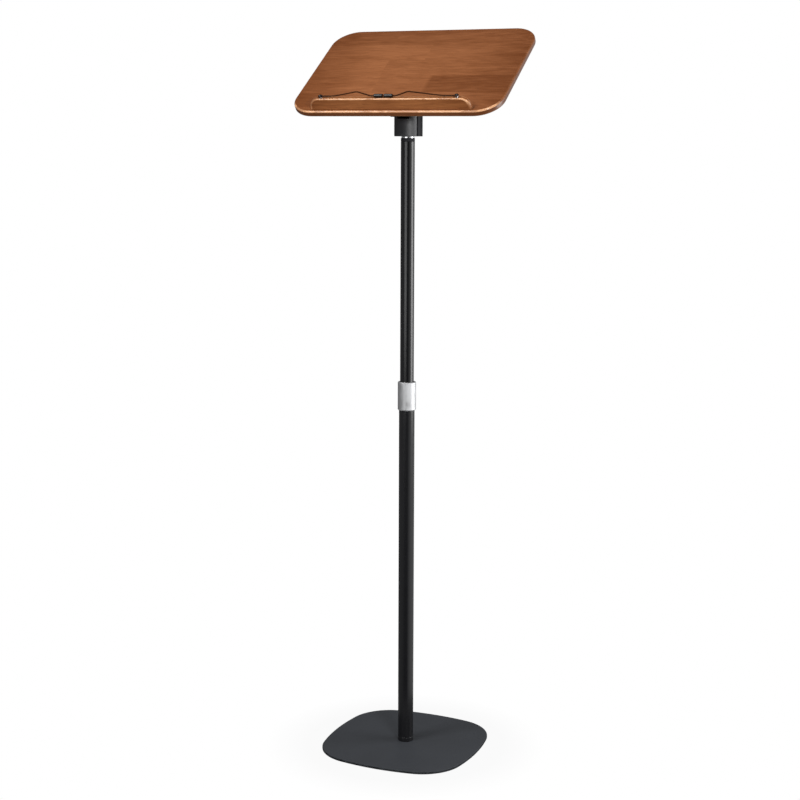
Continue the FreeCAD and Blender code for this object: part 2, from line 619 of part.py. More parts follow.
def make_knob_insert():
    """Brass thread moulded into the knob."""
    body = bar(KNOB_INSERT_DIAMETER / 2, KNOB_FLOOR_X, KNOB_INNER_X)
    return at_hinge(body.cut(bar(HINGE_BOLT_DIAMETER / 2 + RUNNING_GAP, KNOB_FLOOR_X, KNOB_INNER_X)))


# Board, made flat in its own frame

def rounded_slab(width, y_low, y_high, z_low, thickness, corner_radius):
    """Rectangular slab with round upright corners."""
    slab = block(-width / 2, width / 2, y_low, y_high, z_low, z_low + thickness)
    return slab.makeFillet(corner_radius, edges_along(slab, Z_AXIS))


def upright(radius, x, y, z_low, z_high):
    """Round bar square to the board."""
    return Part.makeCylinder(radius, z_high - z_low, FreeCAD.Vector(x, y, z_low))


def plate_screw_places():
    """The four screws that hold the hinge plate to the board."""
    half_x = PLATE_WIDTH / 2 - PLATE_SCREW_INSET
    half_y = PLATE_DEPTH / 2 - PLATE_SCREW_INSET
    return [(x, y) for x in (-half_x, half_x) for y in (-half_y, half_y)]


def ledge_screw_places():
    """The screws that come up through the board into the ledge."""
    spacing = 2 * OUTER_LEDGE_SCREW_X / (LEDGE_SCREW_COUNT - 1)
    return [spacing * step - OUTER_LEDGE_SCREW_X for step in range(LEDGE_SCREW_COUNT)]


def cross_recess(z_low):
    """Cross-shaped driver recess, open downwards."""
    half_width = RECESS_WIDTH / 2
    half_span = RECESS_SPAN / 2
    high = z_low + RECESS_DEPTH
    one = block(-half_width, half_width, -half_span, half_span, z_low, high)
    return one.fuse(turned(one, Z_AXIS, 90))


def ledge_screw_shape(gap):
    """Countersunk wood screw pointing up from the board's underside, grown by a gap for its hole."""
    radius = SCREW_DIAMETER / 2 + gap
    head_radius = LEDGE_SCREW_HEAD_DIAMETER / 2 + gap
    neck = BOARD_BOTTOM + head_radius - radius
    head = cone(head_radius, radius, BOARD_BOTTOM, neck)
    end = LEDGE_SCREW_TIP
    tip_low = end - SCREW_DIAMETER
    tip = cone(radius, SCREW_TIP_DIAMETER / 2 + gap, tip_low, end)
    return head.fuse(post(radius, neck, tip_low)).fuse(tip).removeSplitter()


def ledge_foot(gap):
    """Foot of the ledge in the board's groove, grown by a gap for the groove itself."""
    half = LEDGE_BOTTOM_LENGTH / 2 + gap
    back = LEDGE_FRONT + LEDGE_THICKNESS + gap
    return block(-half, half, LEDGE_FRONT - gap, back, BOARD_TOP - LEDGE_GROOVE_DEPTH, BOARD_TOP)


def make_hinge_bracket():
    """Plate under the board with the tongue that swings in the head's slot."""
    half_depth = PLATE_DEPTH / 2
    plate = rounded_slab(
        PLATE_WIDTH, -half_depth, half_depth, HINGE_TO_PLATE, PLATE_THICKNESS, PLATE_CORNER_RADIUS
    )
    half = TONGUE_WIDTH / 2
    eye = bar(TONGUE_RADIUS, -half, half)
    web = block(-half, half, -TONGUE_RADIUS, TONGUE_RADIUS, 0, HINGE_TO_PLATE)
    body = plate.fuse(eye).fuse(web).removeSplitter()
    body = body.cut(bar(TONGUE_BUSH_DIAMETER / 2 + PRESS_GAP, -half, half))
    for x, y in plate_screw_places():
        hole = upright(SCREW_DIAMETER / 2 + PRESS_GAP, x, y, HINGE_TO_PLATE, BOARD_BOTTOM)
        body = body.cut(hole)
    return on_board(body)


def make_tongue_bush():
    """Plastic bearing of the tongue on the hinge bolt."""
    half = TONGUE_WIDTH / 2
    body = bar(TONGUE_BUSH_DIAMETER / 2, -half, half)
    return on_board(body.cut(bar(HINGE_BOLT_DIAMETER / 2 + RUNNING_GAP, -half, half)))


def make_plate_screws():
    """Pan-head wood screws through the hinge plate."""
    head_low = HINGE_TO_PLATE - SCREW_HEAD_HEIGHT
    head = post(SCREW_HEAD_DIAMETER / 2, head_low, HINGE_TO_PLATE)
    head = head.makeFillet(SCREW_HEAD_ROUND, edges_at(head, head_low))
    shank = post(SCREW_DIAMETER / 2, HINGE_TO_PLATE, PLATE_SCREW_TIP)
    screw = head.fuse(shank).removeSplitter().cut(cross_recess(head_low))
    screws = [moved(screw, x, y) for x, y in plate_screw_places()]
    return on_board(Part.makeCompound(screws))


def make_board():
    """Wooden board with large round corners, rounded edges and a groove that houses the ledge."""
    back = BOARD_FRONT + BOARD_DEPTH
    slab = rounded_slab(
        BOARD_WIDTH, BOARD_FRONT, back, BOARD_BOTTOM, BOARD_THICKNESS, BOARD_CORNER_RADIUS
    )
    rims = edges_at(slab, BOARD_BOTTOM) + edges_at(slab, BOARD_TOP)
    slab = slab.makeFillet(BOARD_EDGE_ROUND, rims)
    hole_top = PLATE_SCREW_TIP + FREE_GAP
    for x, y in plate_screw_places():
        slab = slab.cut(upright(SCREW_DIAMETER / 2 + PRESS_GAP, x, y, BOARD_BOTTOM, hole_top))
    slab = slab.cut(ledge_foot(PRESS_GAP))
    for x in ledge_screw_places():
        slab = slab.cut(moved(ledge_screw_shape(PRESS_GAP), x, LEDGE_MIDDLE))
    return on_board(slab)


# Ledge and page holders

def ledge_profile():
    """Face of the ledge seen from the reader: steep ends with round top corners."""
    bottom = LEDGE_BOTTOM_LENGTH / 2
    top = LEDGE_TOP_LENGTH / 2
    corners = ((-bottom, BOARD_TOP), (bottom, BOARD_TOP), (top, LEDGE_TOP), (-top, LEDGE_TOP))
    points = [FreeCAD.Vector(x, LEDGE_FRONT, z) for x, z in corners]
    return Part.Face(Part.makePolygon(points + points[:1]))


def make_ledge():
    """Wooden front ledge that keeps a book or a laptop on the board."""
    body = ledge_profile().extrude(Y_AXIS * LEDGE_THICKNESS)
    corners = [edge for edge in edges_along(body, Y_AXIS) if edge.BoundBox.ZMin > LEDGE_TOP - FREE_GAP]
    body = body.makeFillet(LEDGE_CORNER_ROUND, corners)
    rims = [edge for edge in body.Edges if edge.BoundBox.YLength < FREE_GAP]
    rims = [edge for edge in rims if edge.BoundBox.ZMax > BOARD_TOP + FREE_GAP]
    body = body.makeFillet(LEDGE_EDGE_ROUND, rims)
    body = body.fuse(ledge_foot(0)).removeSplitter()
    for x in ledge_screw_places():
        body = body.cut(moved(ledge_screw_shape(PRESS_GAP), x, LEDGE_MIDDLE))
    insert_low = LEDGE_TOP - PIVOT_INSERT_LENGTH
    for x in (-PIVOT_X, PIVOT_X):
        radius = PIVOT_INSERT_DIAMETER / 2 + PRESS_GAP
        body = body.cut(upright(radius, x, LEDGE_MIDDLE, insert_low, LEDGE_TOP))
    return on_board(body)


def make_ledge_screws():
    """Countersunk screws that hold the ledge from under the board."""
    screw = ledge_screw_shape(0).cut(cross_recess(BOARD_BOTTOM))
    screws = [moved(screw, x, LEDGE_MIDDLE) for x in ledge_screw_places()]
    return on_board(Part.makeCompound(screws))


def at_pivots(shape):
    """A pair of like pieces, one at each page-holder pivot."""
    pair = [moved(shape, x, LEDGE_MIDDLE) for x in (-PIVOT_X, PIVOT_X)]
    return on_board(Part.makeCompound(pair))


def make_pivot_inserts():
    """Brass threads in the ledge for the pivot screws."""
    low = LEDGE_TOP - PIVOT_INSERT_LENGTH
    radius = PIVOT_INSERT_DIAMETER / 2
    return at_pivots(ring(radius, PIVOT_SCREW_DIAMETER / 2 + PRESS_GAP, low, LEDGE_TOP))


def make_pivot_washers():
    """Steel washers between the wire eyes and the ledge."""
    radius = PIVOT_WASHER_DIAMETER / 2
    high = LEDGE_TOP + PIVOT_WASHER_THICKNESS
    return at_pivots(ring(radius, PIVOT_SCREW_DIAMETER / 2 + PRESS_GAP, LEDGE_TOP, high))


def make_pivot_screws():
    """Black dome-head screws that the page holders swing on."""
    radius = PIVOT_HEAD_DIAMETER / 2
    ball = (radius ** 2 + PIVOT_HEAD_HEIGHT ** 2) / (2 * PIVOT_HEAD_HEIGHT)
    top = PIVOT_HEAD_SEAT + PIVOT_HEAD_HEIGHT
    dome = Part.makeSphere(ball, FreeCAD.Vector(0, 0, top - ball))
    dome = dome.common(post(2 * radius, PIVOT_HEAD_SEAT, top))
    shank = post(PIVOT_SCREW_DIAMETER / 2, LEDGE_TOP - PIVOT_SCREW_DEPTH, PIVOT_HEAD_SEAT)
    return at_pivots(dome.fuse(shank).removeSplitter())


def rounded_path(points, radii):
    """Wire of straight runs through points, joined by tangent arcs of the given radii."""
    edges = []
    start = points[0]
    for before, corner, after, radius in zip(points, points[1:], points[2:], radii):
        inward = (corner - before).normalize()
        outward = (after - corner).normalize()
        turn = inward.getAngle(outward)
        trim = radius * math.tan(turn / 2)
        arc_start = corner - inward * trim
        arc_end = corner + outward * trim
        bulge = radius * (1 / math.cos(turn / 2) - 1)
        middle = corner + (outward - inward).normalize() * bulge
        edges.append(Part.LineSegment(start, arc_start).toShape())
        edges.append(arc(arc_start, middle, arc_end))
        start = arc_end
    edges.append(Part.LineSegment(start, points[-1]).toShape())
    return Part.Wire(edges)


def make_holder_wire(reach):
    """Sprung wire with an eye at its pivot, arched to a tip that lies on the ledge; runs along +x."""
    places = (
        (EYE_RADIUS, WIRE_HEIGHT),
        (WIRE_FLAT_LENGTH, WIRE_HEIGHT),
        (reach - WIRE_PEAK_FROM_TIP, WIRE_HEIGHT + WIRE_RISE),
        (reach - WIRE_FOOT_FROM_TIP, SLEEVE_HEIGHT),
        (reach - SLEEVE_END_WALL - FACE_GAP, SLEEVE_HEIGHT),
    )
    points = [FreeCAD.Vector(x, 0, z) for x, z in places]
    radii = (WIRE_RISE_RADIUS, WIRE_PEAK_RADIUS, WIRE_FOOT_RADIUS)
    section = Part.Wire(Part.makeCircle(WIRE_DIAMETER / 2, points[0], X_AXIS))
    arm = rounded_path(points, radii).makePipeShell([section], True, False)
    eye = Part.makeTorus(EYE_RADIUS, WIRE_DIAMETER / 2, FreeCAD.Vector(0, 0, WIRE_HEIGHT))
    return eye.fuse(arm)


def make_holder_sleeve(reach):
    """Soft sleeve on the wire's tip, closed and rounded at its end."""
    start = FreeCAD.Vector(reach - SLEEVE_LENGTH, 0, SLEEVE_HEIGHT)
    body = Part.makeCylinder(SLEEVE_DIAMETER / 2, SLEEVE_LENGTH, start, X_AXIS)
    ends = [edge for edge in body.Edges if edge.BoundBox.XLength < PRESS_GAP]
    body = body.makeFillet(SLEEVE_END_WALL, ends)
    bore_length = SLEEVE_LENGTH - SLEEVE_END_WALL
    return body.cut(Part.makeCylinder(WIRE_DIAMETER / 2 + PRESS_GAP, bore_length, start, X_AXIS))


def make_page_holders():
    """Both page holders: node names with their solids."""
    left_reach = PIVOT_X + HOLDER_MEETING_X - HOLDER_TIP_GAP / 2
    right_reach = PIVOT_X - HOLDER_MEETING_X - HOLDER_TIP_GAP / 2
    pieces = {}
    for side, x, reach, degrees in (("left", -PIVOT_X, left_reach, 0), ("right", PIVOT_X, right_reach, 180)):
        for kind, shape in (("wire", make_holder_wire(reach)), ("sleeve", make_holder_sleeve(reach))):
            placed = moved(turned(shape, Z_AXIS, degrees), x, LEDGE_MIDDLE)
            pieces[f"{side}_page_holder_{kind}"] = on_board(placed)
    return pieces


NODES = {
    "base_plate": make_base_plate,
    "base_pad": make_base_pad,
    "base_bolt": make_base_bolt,
    "foot_plug": make_foot_plug,
    "lower_tube": make_lower_tube,
    "guide_sleeve": make_guide_sleeve,
    "ferrule": make_ferrule,
    "collet": make_collet,
    "lock_collar": make_lock_collar,
    "upper_tube": make_upper_tube,
    "slide_bush": make_slide_bush,
    "tube_cap": make_tube_cap,
    "swivel_spigot": make_spigot,
    "swivel_bush": make_swivel_bush,
    "swivel_screw": make_swivel_screw,
    "head_housing": make_head_housing,
    "head_side_cover": make_side_cover,
    "hinge_bolt": make_hinge_bolt,
    "friction_washers": make_friction_washers,
    "knob_washer": make_knob_washer,
    "tilt_knob": make_tilt_knob,
    "knob_insert": make_knob_insert,
    "hinge_bracket": make_hinge_bracket,
    "tongue_bush": make_tongue_bush,
    "bracket_screws": make_plate_screws,
    "board": make_board,
    "ledge": make_ledge,
    "ledge_screws": make_ledge_screws,
    "pivot_inserts": make_pivot_inserts,
    "pivot_washers": make_pivot_washers,
    "pivot_screws": make_pivot_screws,
}


def main():
    """Build every node and write it to the parts folder."""
    os.makedirs("parts", exist_ok=True)
    for name, make in NODES.items():
        save(name, make())
    for name, shape in make_page_holders().items():
        save(name, shape)
    print(f"hinge axis at z {HINGE_Z:.2f}, collar {COLLAR_BOTTOM_Z:.2f} to {COLLAR_TOP_Z:.2f}")


main()
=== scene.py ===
"""Looks of a floor-standing reading and laptop stand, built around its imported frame.

Lengths are in metres and in the frame's axes: +X runs along the board's width, +Y points away
from the reader and +Z is up, with the origin on the floor under the pole.
"""

import json
import logging
import math
from collections.abc import Callable, Sequence
from dataclasses import dataclass
from enum import Enum
from typing import Any

import bmesh
import bpy
from bpy.types import Material, Mesh, NodeSocket, NodeTree, Object
from mathutils import Matrix, Vector


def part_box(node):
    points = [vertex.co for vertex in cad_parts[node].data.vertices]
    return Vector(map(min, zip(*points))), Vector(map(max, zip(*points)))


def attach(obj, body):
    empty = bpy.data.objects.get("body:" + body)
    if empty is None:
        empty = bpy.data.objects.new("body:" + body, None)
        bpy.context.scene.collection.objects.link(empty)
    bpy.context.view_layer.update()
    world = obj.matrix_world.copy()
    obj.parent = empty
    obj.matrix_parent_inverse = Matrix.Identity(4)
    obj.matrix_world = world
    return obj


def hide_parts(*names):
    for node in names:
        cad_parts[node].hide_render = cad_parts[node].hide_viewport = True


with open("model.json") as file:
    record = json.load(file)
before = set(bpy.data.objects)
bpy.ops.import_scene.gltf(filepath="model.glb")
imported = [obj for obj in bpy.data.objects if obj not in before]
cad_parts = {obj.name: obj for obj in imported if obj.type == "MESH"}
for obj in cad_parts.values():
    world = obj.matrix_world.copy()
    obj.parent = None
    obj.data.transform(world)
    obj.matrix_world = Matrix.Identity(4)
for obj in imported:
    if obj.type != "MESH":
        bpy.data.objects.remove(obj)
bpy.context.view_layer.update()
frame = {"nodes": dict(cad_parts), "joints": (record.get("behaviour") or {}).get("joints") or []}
LOG = logging.getLogger("reading_stand")

Colour = tuple[float, float, float, float]
Corner = tuple[float, float, float]
Point = tuple[float, float]
Outline = Callable[[float], list[Point]]
Sockets = bpy.types.bpy_prop_collection

WELD = 1e-6
CREASE = math.radians(38)
SOFT_BEND = math.radians(7)
FULL_BEND = math.radians(16)
FLAT_ANGLE = math.radians(0.4)
SHARP_ANGLE = math.radians(28)
QUARTER = math.pi / 2
TURN = 2 * math.pi
BEVEL_STEPS = 3
ROUND_PROFILE = 0.5
RIM_BORDER = 1.3
SCREW_SIDES = 32
NOISE_SPAN = (0.3, 0.7)
WHITE = (1.0, 1.0, 1.0, 1.0)


class Body(str, Enum):
    """Bodies of the frame that a piece can ride on."""

    BASE = "base"
    COLLAR = "collar"
    UPPER_POLE = "upper_pole"
    TILT_HEAD = "tilt_head"
    KNOB = "knob"
    READING_BOARD = "reading_board"
    LEFT_HOLDER = "left_page_holder"
    RIGHT_HOLDER = "right_page_holder"


class Slot(str, Enum):
    """Material slots of the record."""

    BASE_PAINT = "base_paint"
    TUBE_PAINT = "tube_paint"
    BRACKET_PAINT = "bracket_paint"
    FOAM_RUBBER = "foam_rubber"
    ZINC_STEEL = "zinc_steel"
    BLACK_STEEL = "black_steel"
    BRUSHED_ALUMINIUM = "brushed_aluminium"
    CHROME = "chrome"
    BRASS = "brass"
    BEARING_PLASTIC = "bearing_plastic"
    BLACK_PLASTIC = "black_plastic"
    STAINED_WOOD = "stained_wood"
    SPRING_WIRE = "spring_wire"
    SLEEVE_VINYL = "sleeve_vinyl"


class Socket(str, Enum):
    """Kinds of socket on a node group."""

    NUMBER = "NodeSocketFloat"
    WHOLE = "NodeSocketInt"
    VECTOR = "NodeSocketVector"
    SHAPE = "NodeSocketGeometry"
    FINISH = "NodeSocketMaterial"


@dataclass(frozen=True)
class Ramp:
    """A climb or fall between two places, level beyond them.

    Attributes:
        start: Where it leaves its first level.
        end: Where it reaches its last level.
        first: The first level.
        last: The last level.
    """

    start: float
    end: float
    first: float = 0.0
    last: float = 1.0

    @classmethod
    def around(cls, middle: float, spread: float) -> "Ramp":
        """Ramp that carries the usual span of a noise to a range round a middle."""
        return cls(*NOISE_SPAN, middle - spread, middle + spread)


PATCH_TONES = Ramp(0.35, 0.65)


class Wiring:
    """Fills a node tree with nodes and links.

    Attributes:
        tree: The tree that is being filled.
    """

    def __init__(self, tree: NodeTree) -> None:
        """Start on an empty tree."""
        tree.nodes.clear()
        self.tree = tree

    def node(
        self, kind: str, inputs: dict[str | int, Any] | None = None, **settings: Any
    ) -> bpy.types.Node:
        """Add a node.

        Args:
            kind: The node's type.
            inputs: Values or sockets for its inputs, by name or place.
            settings: Properties to set before the inputs are fed.

        Returns:
            The new node.
        """
        node = self.tree.nodes.new(kind)
        for name, value in settings.items():
            setattr(node, name, value)
        for key, value in (inputs or {}).items():
            self.feed(node.inputs[key], value)
        return node

    def value(self, kind: str, inputs: dict[str | int, Any] | None = None, **settings: Any) -> NodeSocket:
        """Add a node and return its first output."""
        return self.node(kind, inputs, **settings).outputs[0]

    def feed(self, socket: NodeSocket, value: Any) -> None:
        """Link a socket to another one, or set its own value.

        Args:
            socket: The socket to feed.
            value: What feeds it.
        """
        if isinstance(value, NodeSocket):
            self.tree.links.new(value, socket)
        else:
            socket.default_value = value

    def math(self, operation: str, *values: Any) -> NodeSocket:
        """Add a Math node and return its result."""
        return self.value("ShaderNodeMath", dict(enumerate(values)), operation=operation)

    def vector(self, operation: str, *values: Any) -> NodeSocket:
        """Add a Vector Math node and return its vector."""
        return self.value("ShaderNodeVectorMath", dict(enumerate(values)), operation=operation)

    def measure(self, operation: str, *vectors: Any) -> NodeSocket:
        """Add a Vector Math node and return its number."""
        inputs = dict(enumerate(vectors))
        return self.node("ShaderNodeVectorMath", inputs, operation=operation).outputs["Value"]

    def ramp(self, value: Any, ramp: Ramp) -> NodeSocket:
        """Send a value through a ramp and return the level there."""
        inputs = {
            "Value": value,
            "From Min": ramp.start,
            "From Max": ramp.end,
            "To Min": ramp.first,
            "To Max": ramp.last,
        }
        return self.value("ShaderNodeMapRange", inputs)

    def blend(self, factor: Any, first: Any, second: Any) -> NodeSocket:
        """Mix two colours and return the result."""
        inputs = {0: factor, 6: first, 7: second}
        return self.node("ShaderNodeMix", inputs, data_type="RGBA").outputs[2]

    def place(self) -> NodeSocket:
        """Place on the piece, in the frame's axes."""
        return self.node("ShaderNodeTexCoord").outputs["Object"]

    def noise(self, place: Any, scale: Any, detail: float, distortion: float = 0.0) -> NodeSocket:
        """Add a Noise texture and return its value."""
        inputs = {"Vector": place, "Scale": scale, "Detail": detail, "Distortion": distortion}
        return self.value("ShaderNodeTexNoise", inputs)

    def bump(self, height: Any, strength: float, distance: float) -> NodeSocket:
        """Add a Bump node and return its normal."""
        inputs = {"Height": height, "Strength": strength, "Distance": distance}
        return self.value("ShaderNodeBump", inputs)

    def rays(self) -> tuple[NodeSocket, NodeSocket]:
        """Tell apart the rays that meet a surface.

        Returns:
            Whether a ray is the camera's, and whether it comes by way of a shiny surface.
        """
        path = self.node("ShaderNodeLightPath").outputs
        shiny = self.math("MAXIMUM", path["Is Glossy Ray"], path["Is Transmission Ray"])
        return path["Is Camera Ray"], shiny

    def group(self, tree: NodeTree, inputs: dict[str, Any]) -> Sockets:
        """Place a shader node group with its own values and return its outputs."""
        return self.node("ShaderNodeGroup", inputs, node_tree=tree).outputs


def new_tree(
    name: str, kind: str, inputs: dict[str, Socket], outputs: dict[str, Socket]
) -> tuple[Wiring, Sockets, Sockets]:
    """Make a node group with named sockets.

    Args:
        name: The group's name.
        kind: Type of the tree.
        inputs: Kind of each input socket, by name.
        outputs: Kind of each output socket, by name.

    Returns:
        The wiring, the sockets that hold what the group is given, and the sockets that it puts out.
    """
    tree = bpy.data.node_groups.new(name, kind)
    wiring = Wiring(tree)
    for way, sockets in (("INPUT", inputs), ("OUTPUT", outputs)):
        for label, socket in sockets.items():
            tree.interface.new_socket(label, in_out=way, socket_type=socket.value)
    return wiring, wiring.node("NodeGroupInput").outputs, wiring.node("NodeGroupOutput").inputs


def numbers(*labels: str) -> dict[str, Socket]:
    """Sockets for plain numbers."""
    return dict.fromkeys(labels, Socket.NUMBER)


class SharedEffects:
    """Shader node groups that several finishes place with their own values.

    The ramps of the wood run along the board's own axes, in metres.

    Attributes:
        grain: Pebbles and soft patches of paint and plastic.
        wear: Mask along marked edges, for scuffs, and for the painted shade on the floor plate's side and
            the painted highlight on the wood's front edges.
        brushed: Hair lines of metal.
        wood: Figure of the glued staves.
    """

    BROKEN_EDGE = Ramp(0.42, 0.62, 0.25, 1.0)
    STAVE_SHIFT = (3.0, 1.0, 1.0)
    BAND_STRETCH = (7.0, 48.0, 48.0)
    BAND_WAVER = 0.9
    FIBRE_STRETCH = (34.0, 340.0, 340.0)
    PORE_STRETCH = (75.0, 900.0, 900.0)
    PORES = Ramp(0.62, 0.72)
    DARK_STAVE = Ramp(-0.004, 0.004, 0.0, 2.3)
    STAVE_FADE = Ramp(0.0, 0.6, 0.65, 1.0)
    MARGIN_FADE = 0.6
    LEFT_MARGIN = Ramp(-0.07, -0.195, 0.0, 1.15)
    RIGHT_MARGIN = Ramp(0.09, 0.195, 0.0, 1.05)
    FAR_MARGIN = Ramp(0.11, 0.192, 0.0, 0.8)
    BELOW_RIM = Ramp(0.0382, 0.0392, 1.0, 0.0)
    ABOVE_UNDERSIDE = Ramp(0.0301, 0.0312, 0.25, 1.0)
    NEAR_FRONT = Ramp(-0.066, -0.040, 1.0, 0.05)
    NEAR_FOOT = Ramp(0.0415, 0.0440, 1.0, 0.0)

    def __init__(self) -> None:
        """Build every group once."""
        self.grain = self._surface_grain()
        self.wear = self._edge_wear()
        self.brushed = self._brushed_lines()
        self.wood = self._wood_figure()

    def _surface_grain(self) -> NodeTree:
        """Fine pebbled relief of paint and moulded plastic, with broad soft patches.

        Returns:
            The shader group.
        """
        wiring, given, out = new_tree(
            "surface_grain", "ShaderNodeTree", numbers("Grain", "Patch"), numbers("Height", "Patch")
        )
        place = wiring.place()
        wiring.feed(out["Height"], wiring.noise(place, given["Grain"], 3.0))
        wiring.feed(out["Patch"], wiring.noise(place, given["Patch"], 4.0))
        return wiring.tree

    def _edge_wear(self) -> NodeTree:
        """Broken mask along the rounded edges that a mesh marks.

        Returns:
            The shader group.
        """
        wiring, given, out = new_tree(
            "edge_wear", "ShaderNodeTree", numbers("Amount", "Breakup"), numbers("Mask")
        )
        edge = wiring.node("ShaderNodeAttribute", attribute_name="edge").outputs["Fac"]
        broken = wiring.ramp(wiring.noise(wiring.place(), given["Breakup"], 5.0), self.BROKEN_EDGE)
        mask = wiring.math("MULTIPLY", wiring.math("MULTIPLY", edge, broken), given["Amount"])
        wiring.feed(out["Mask"], mask)
        return wiring.tree

    def _brushed_lines(self) -> NodeTree:
        """Hair lines of brushed metal, drawn out across one direction.

        Returns:
            The shader group.
        """
        wiring, given, out = new_tree(
            "brushed_lines",
            "ShaderNodeTree",
            {"Stretch": Socket.VECTOR, "Patch": Socket.NUMBER},
            numbers("Height", "Patch"),
        )
        place = wiring.place()
        drawn = wiring.vector("MULTIPLY", place, given["Stretch"])
        wiring.feed(out["Height"], wiring.noise(drawn, 1.0, 3.0))
        wiring.feed(out["Patch"], wiring.noise(place, given["Patch"], 3.0))
        return wiring.tree

    def _wood_figure(self) -> NodeTree:
        """Edge-glued staves with their own tone, growth bands, fibres and pores along x, and masks for the
        darker margins, the painted shade on the sides and at the foot, and the front edges that take a
        painted highlight.

        Returns:
            The shader group.
        """
        wiring, given, out = new_tree(
            "wood_figure",
            "ShaderNodeTree",
            {"Place": Socket.VECTOR} | numbers("Stave Width", "Stave Length", "Seam", "Dark Start", "Seed"),
            numbers("Tone", "Bands", "Fibre", "Pores", "Margin", "Side", "Front", "Foot"),
        )
        along, across, height = wiring.node("ShaderNodeSeparateXYZ", {0: given["Place"]}).outputs
        staves = wiring.math("DIVIDE", wiring.math("SUBTRACT", across, given["Seam"]), given["Stave Width"])
        row = wiring.math("FLOOR", staves)
        offset = self._draw(wiring, {0: row, 1: given["Seed"]})["Value"]
        steps = wiring.math("ADD", wiring.math("DIVIDE", along, given["Stave Length"]), offset)
        stave = self._draw(wiring, {0: row, 1: given["Seed"], 2: wiring.math("FLOOR", steps)})
        shift = wiring.vector("MULTIPLY", stave["Color"], self.STAVE_SHIFT)
        place = wiring.vector("ADD", given["Place"], shift)
        slow, fine, dashes = (
            wiring.vector("MULTIPLY", place, stretch)
            for stretch in (self.BAND_STRETCH, self.FIBRE_STRETCH, self.PORE_STRETCH)
        )
        left = wiring.ramp(along, self.LEFT_MARGIN)
        right = wiring.ramp(along, self.RIGHT_MARGIN)
        far = wiring.ramp(across, self.FAR_MARGIN)
        margin = wiring.math("MAXIMUM", wiring.math("MAXIMUM", left, right), far)
        first_row = wiring.math("COMPARE", row, 0.0, 0.5)
        beyond = wiring.math("SUBTRACT", wiring.math("MULTIPLY", first_row, along), given["Dark Start"])
        fading = wiring.ramp(wiring.math("SUBTRACT", staves, row), self.STAVE_FADE)
        clear = wiring.math("MULTIPLY", fading, wiring.math("MULTIPLY_ADD", margin, -self.MARGIN_FADE, 1.0))
        deeper = wiring.math("MULTIPLY", wiring.ramp(beyond, self.DARK_STAVE), clear)
        below_rim = wiring.ramp(height, self.BELOW_RIM)
        figure = {
            "Tone": wiring.math("SUBTRACT", stave["Value"], deeper),
            "Bands": wiring.noise(slow, 1.0, 4.0, self.BAND_WAVER),
            "Fibre": wiring.noise(fine, 1.0, 3.0),
            "Pores": wiring.ramp(wiring.noise(dashes, 1.0, 1.0), self.PORES),
            "Margin": margin,
            # Sides, and less the underside, which take a painted shade.
            "Side": wiring.math("MULTIPLY", below_rim, wiring.ramp(height, self.ABOVE_UNDERSIDE)),
            # Front edges, which take the painted highlight.
            "Front": wiring.ramp(across, self.NEAR_FRONT),
            # Foot of the ledge, where a painted shade line runs.
            "Foot": wiring.ramp(height, self.NEAR_FOOT),
        }
        for label, value in figure.items():
            wiring.feed(out[label], value)
        return wiring.tree

    def _draw(self, wiring: Wiring, key: dict[int, Any]) -> Sockets:
        """Random value and colour for a key of up to three numbers."""
        lot = wiring.value("ShaderNodeCombineXYZ", key)
        return wiring.node("ShaderNodeTexWhiteNoise", {"Vector": lot}, noise_dimensions="3D").outputs


def new_material(name: str) -> tuple[Material, Wiring]:
    """Make an empty material.

    Args:
        name: The material's name.

    Returns:
        The material and its wiring.
    """
    material = bpy.data.materials.new(name)
    material.use_nodes = True
    return material, Wiring(material.node_tree)


def shaded(colour: Colour, share: float) -> Colour:
    """A colour made lighter or darker by a share."""
    return (colour[0] * share, colour[1] * share, colour[2] * share, 1.0)


@dataclass(frozen=True)
class Finish:
    """A finish of the stand, which says what feeds each socket of its shader."""

    def build(self, name: str, effects: SharedEffects) -> Material:
        """Make the material.

        Args:
            name: Name of the material.
            effects: The shared node groups.

        Returns:
            The finished material.
        """
        material, wiring = new_material(name)
        shader = wiring.value("ShaderNodeBsdfPrincipled", self.sockets(wiring, effects))
        wiring.node("ShaderNodeOutputMaterial", {"Surface": shader})
        return material

    def sockets(self, wiring: Wiring, effects: SharedEffects) -> dict[str, Any]:
        """What feeds the shader, for each finish to say."""
        raise NotImplementedError


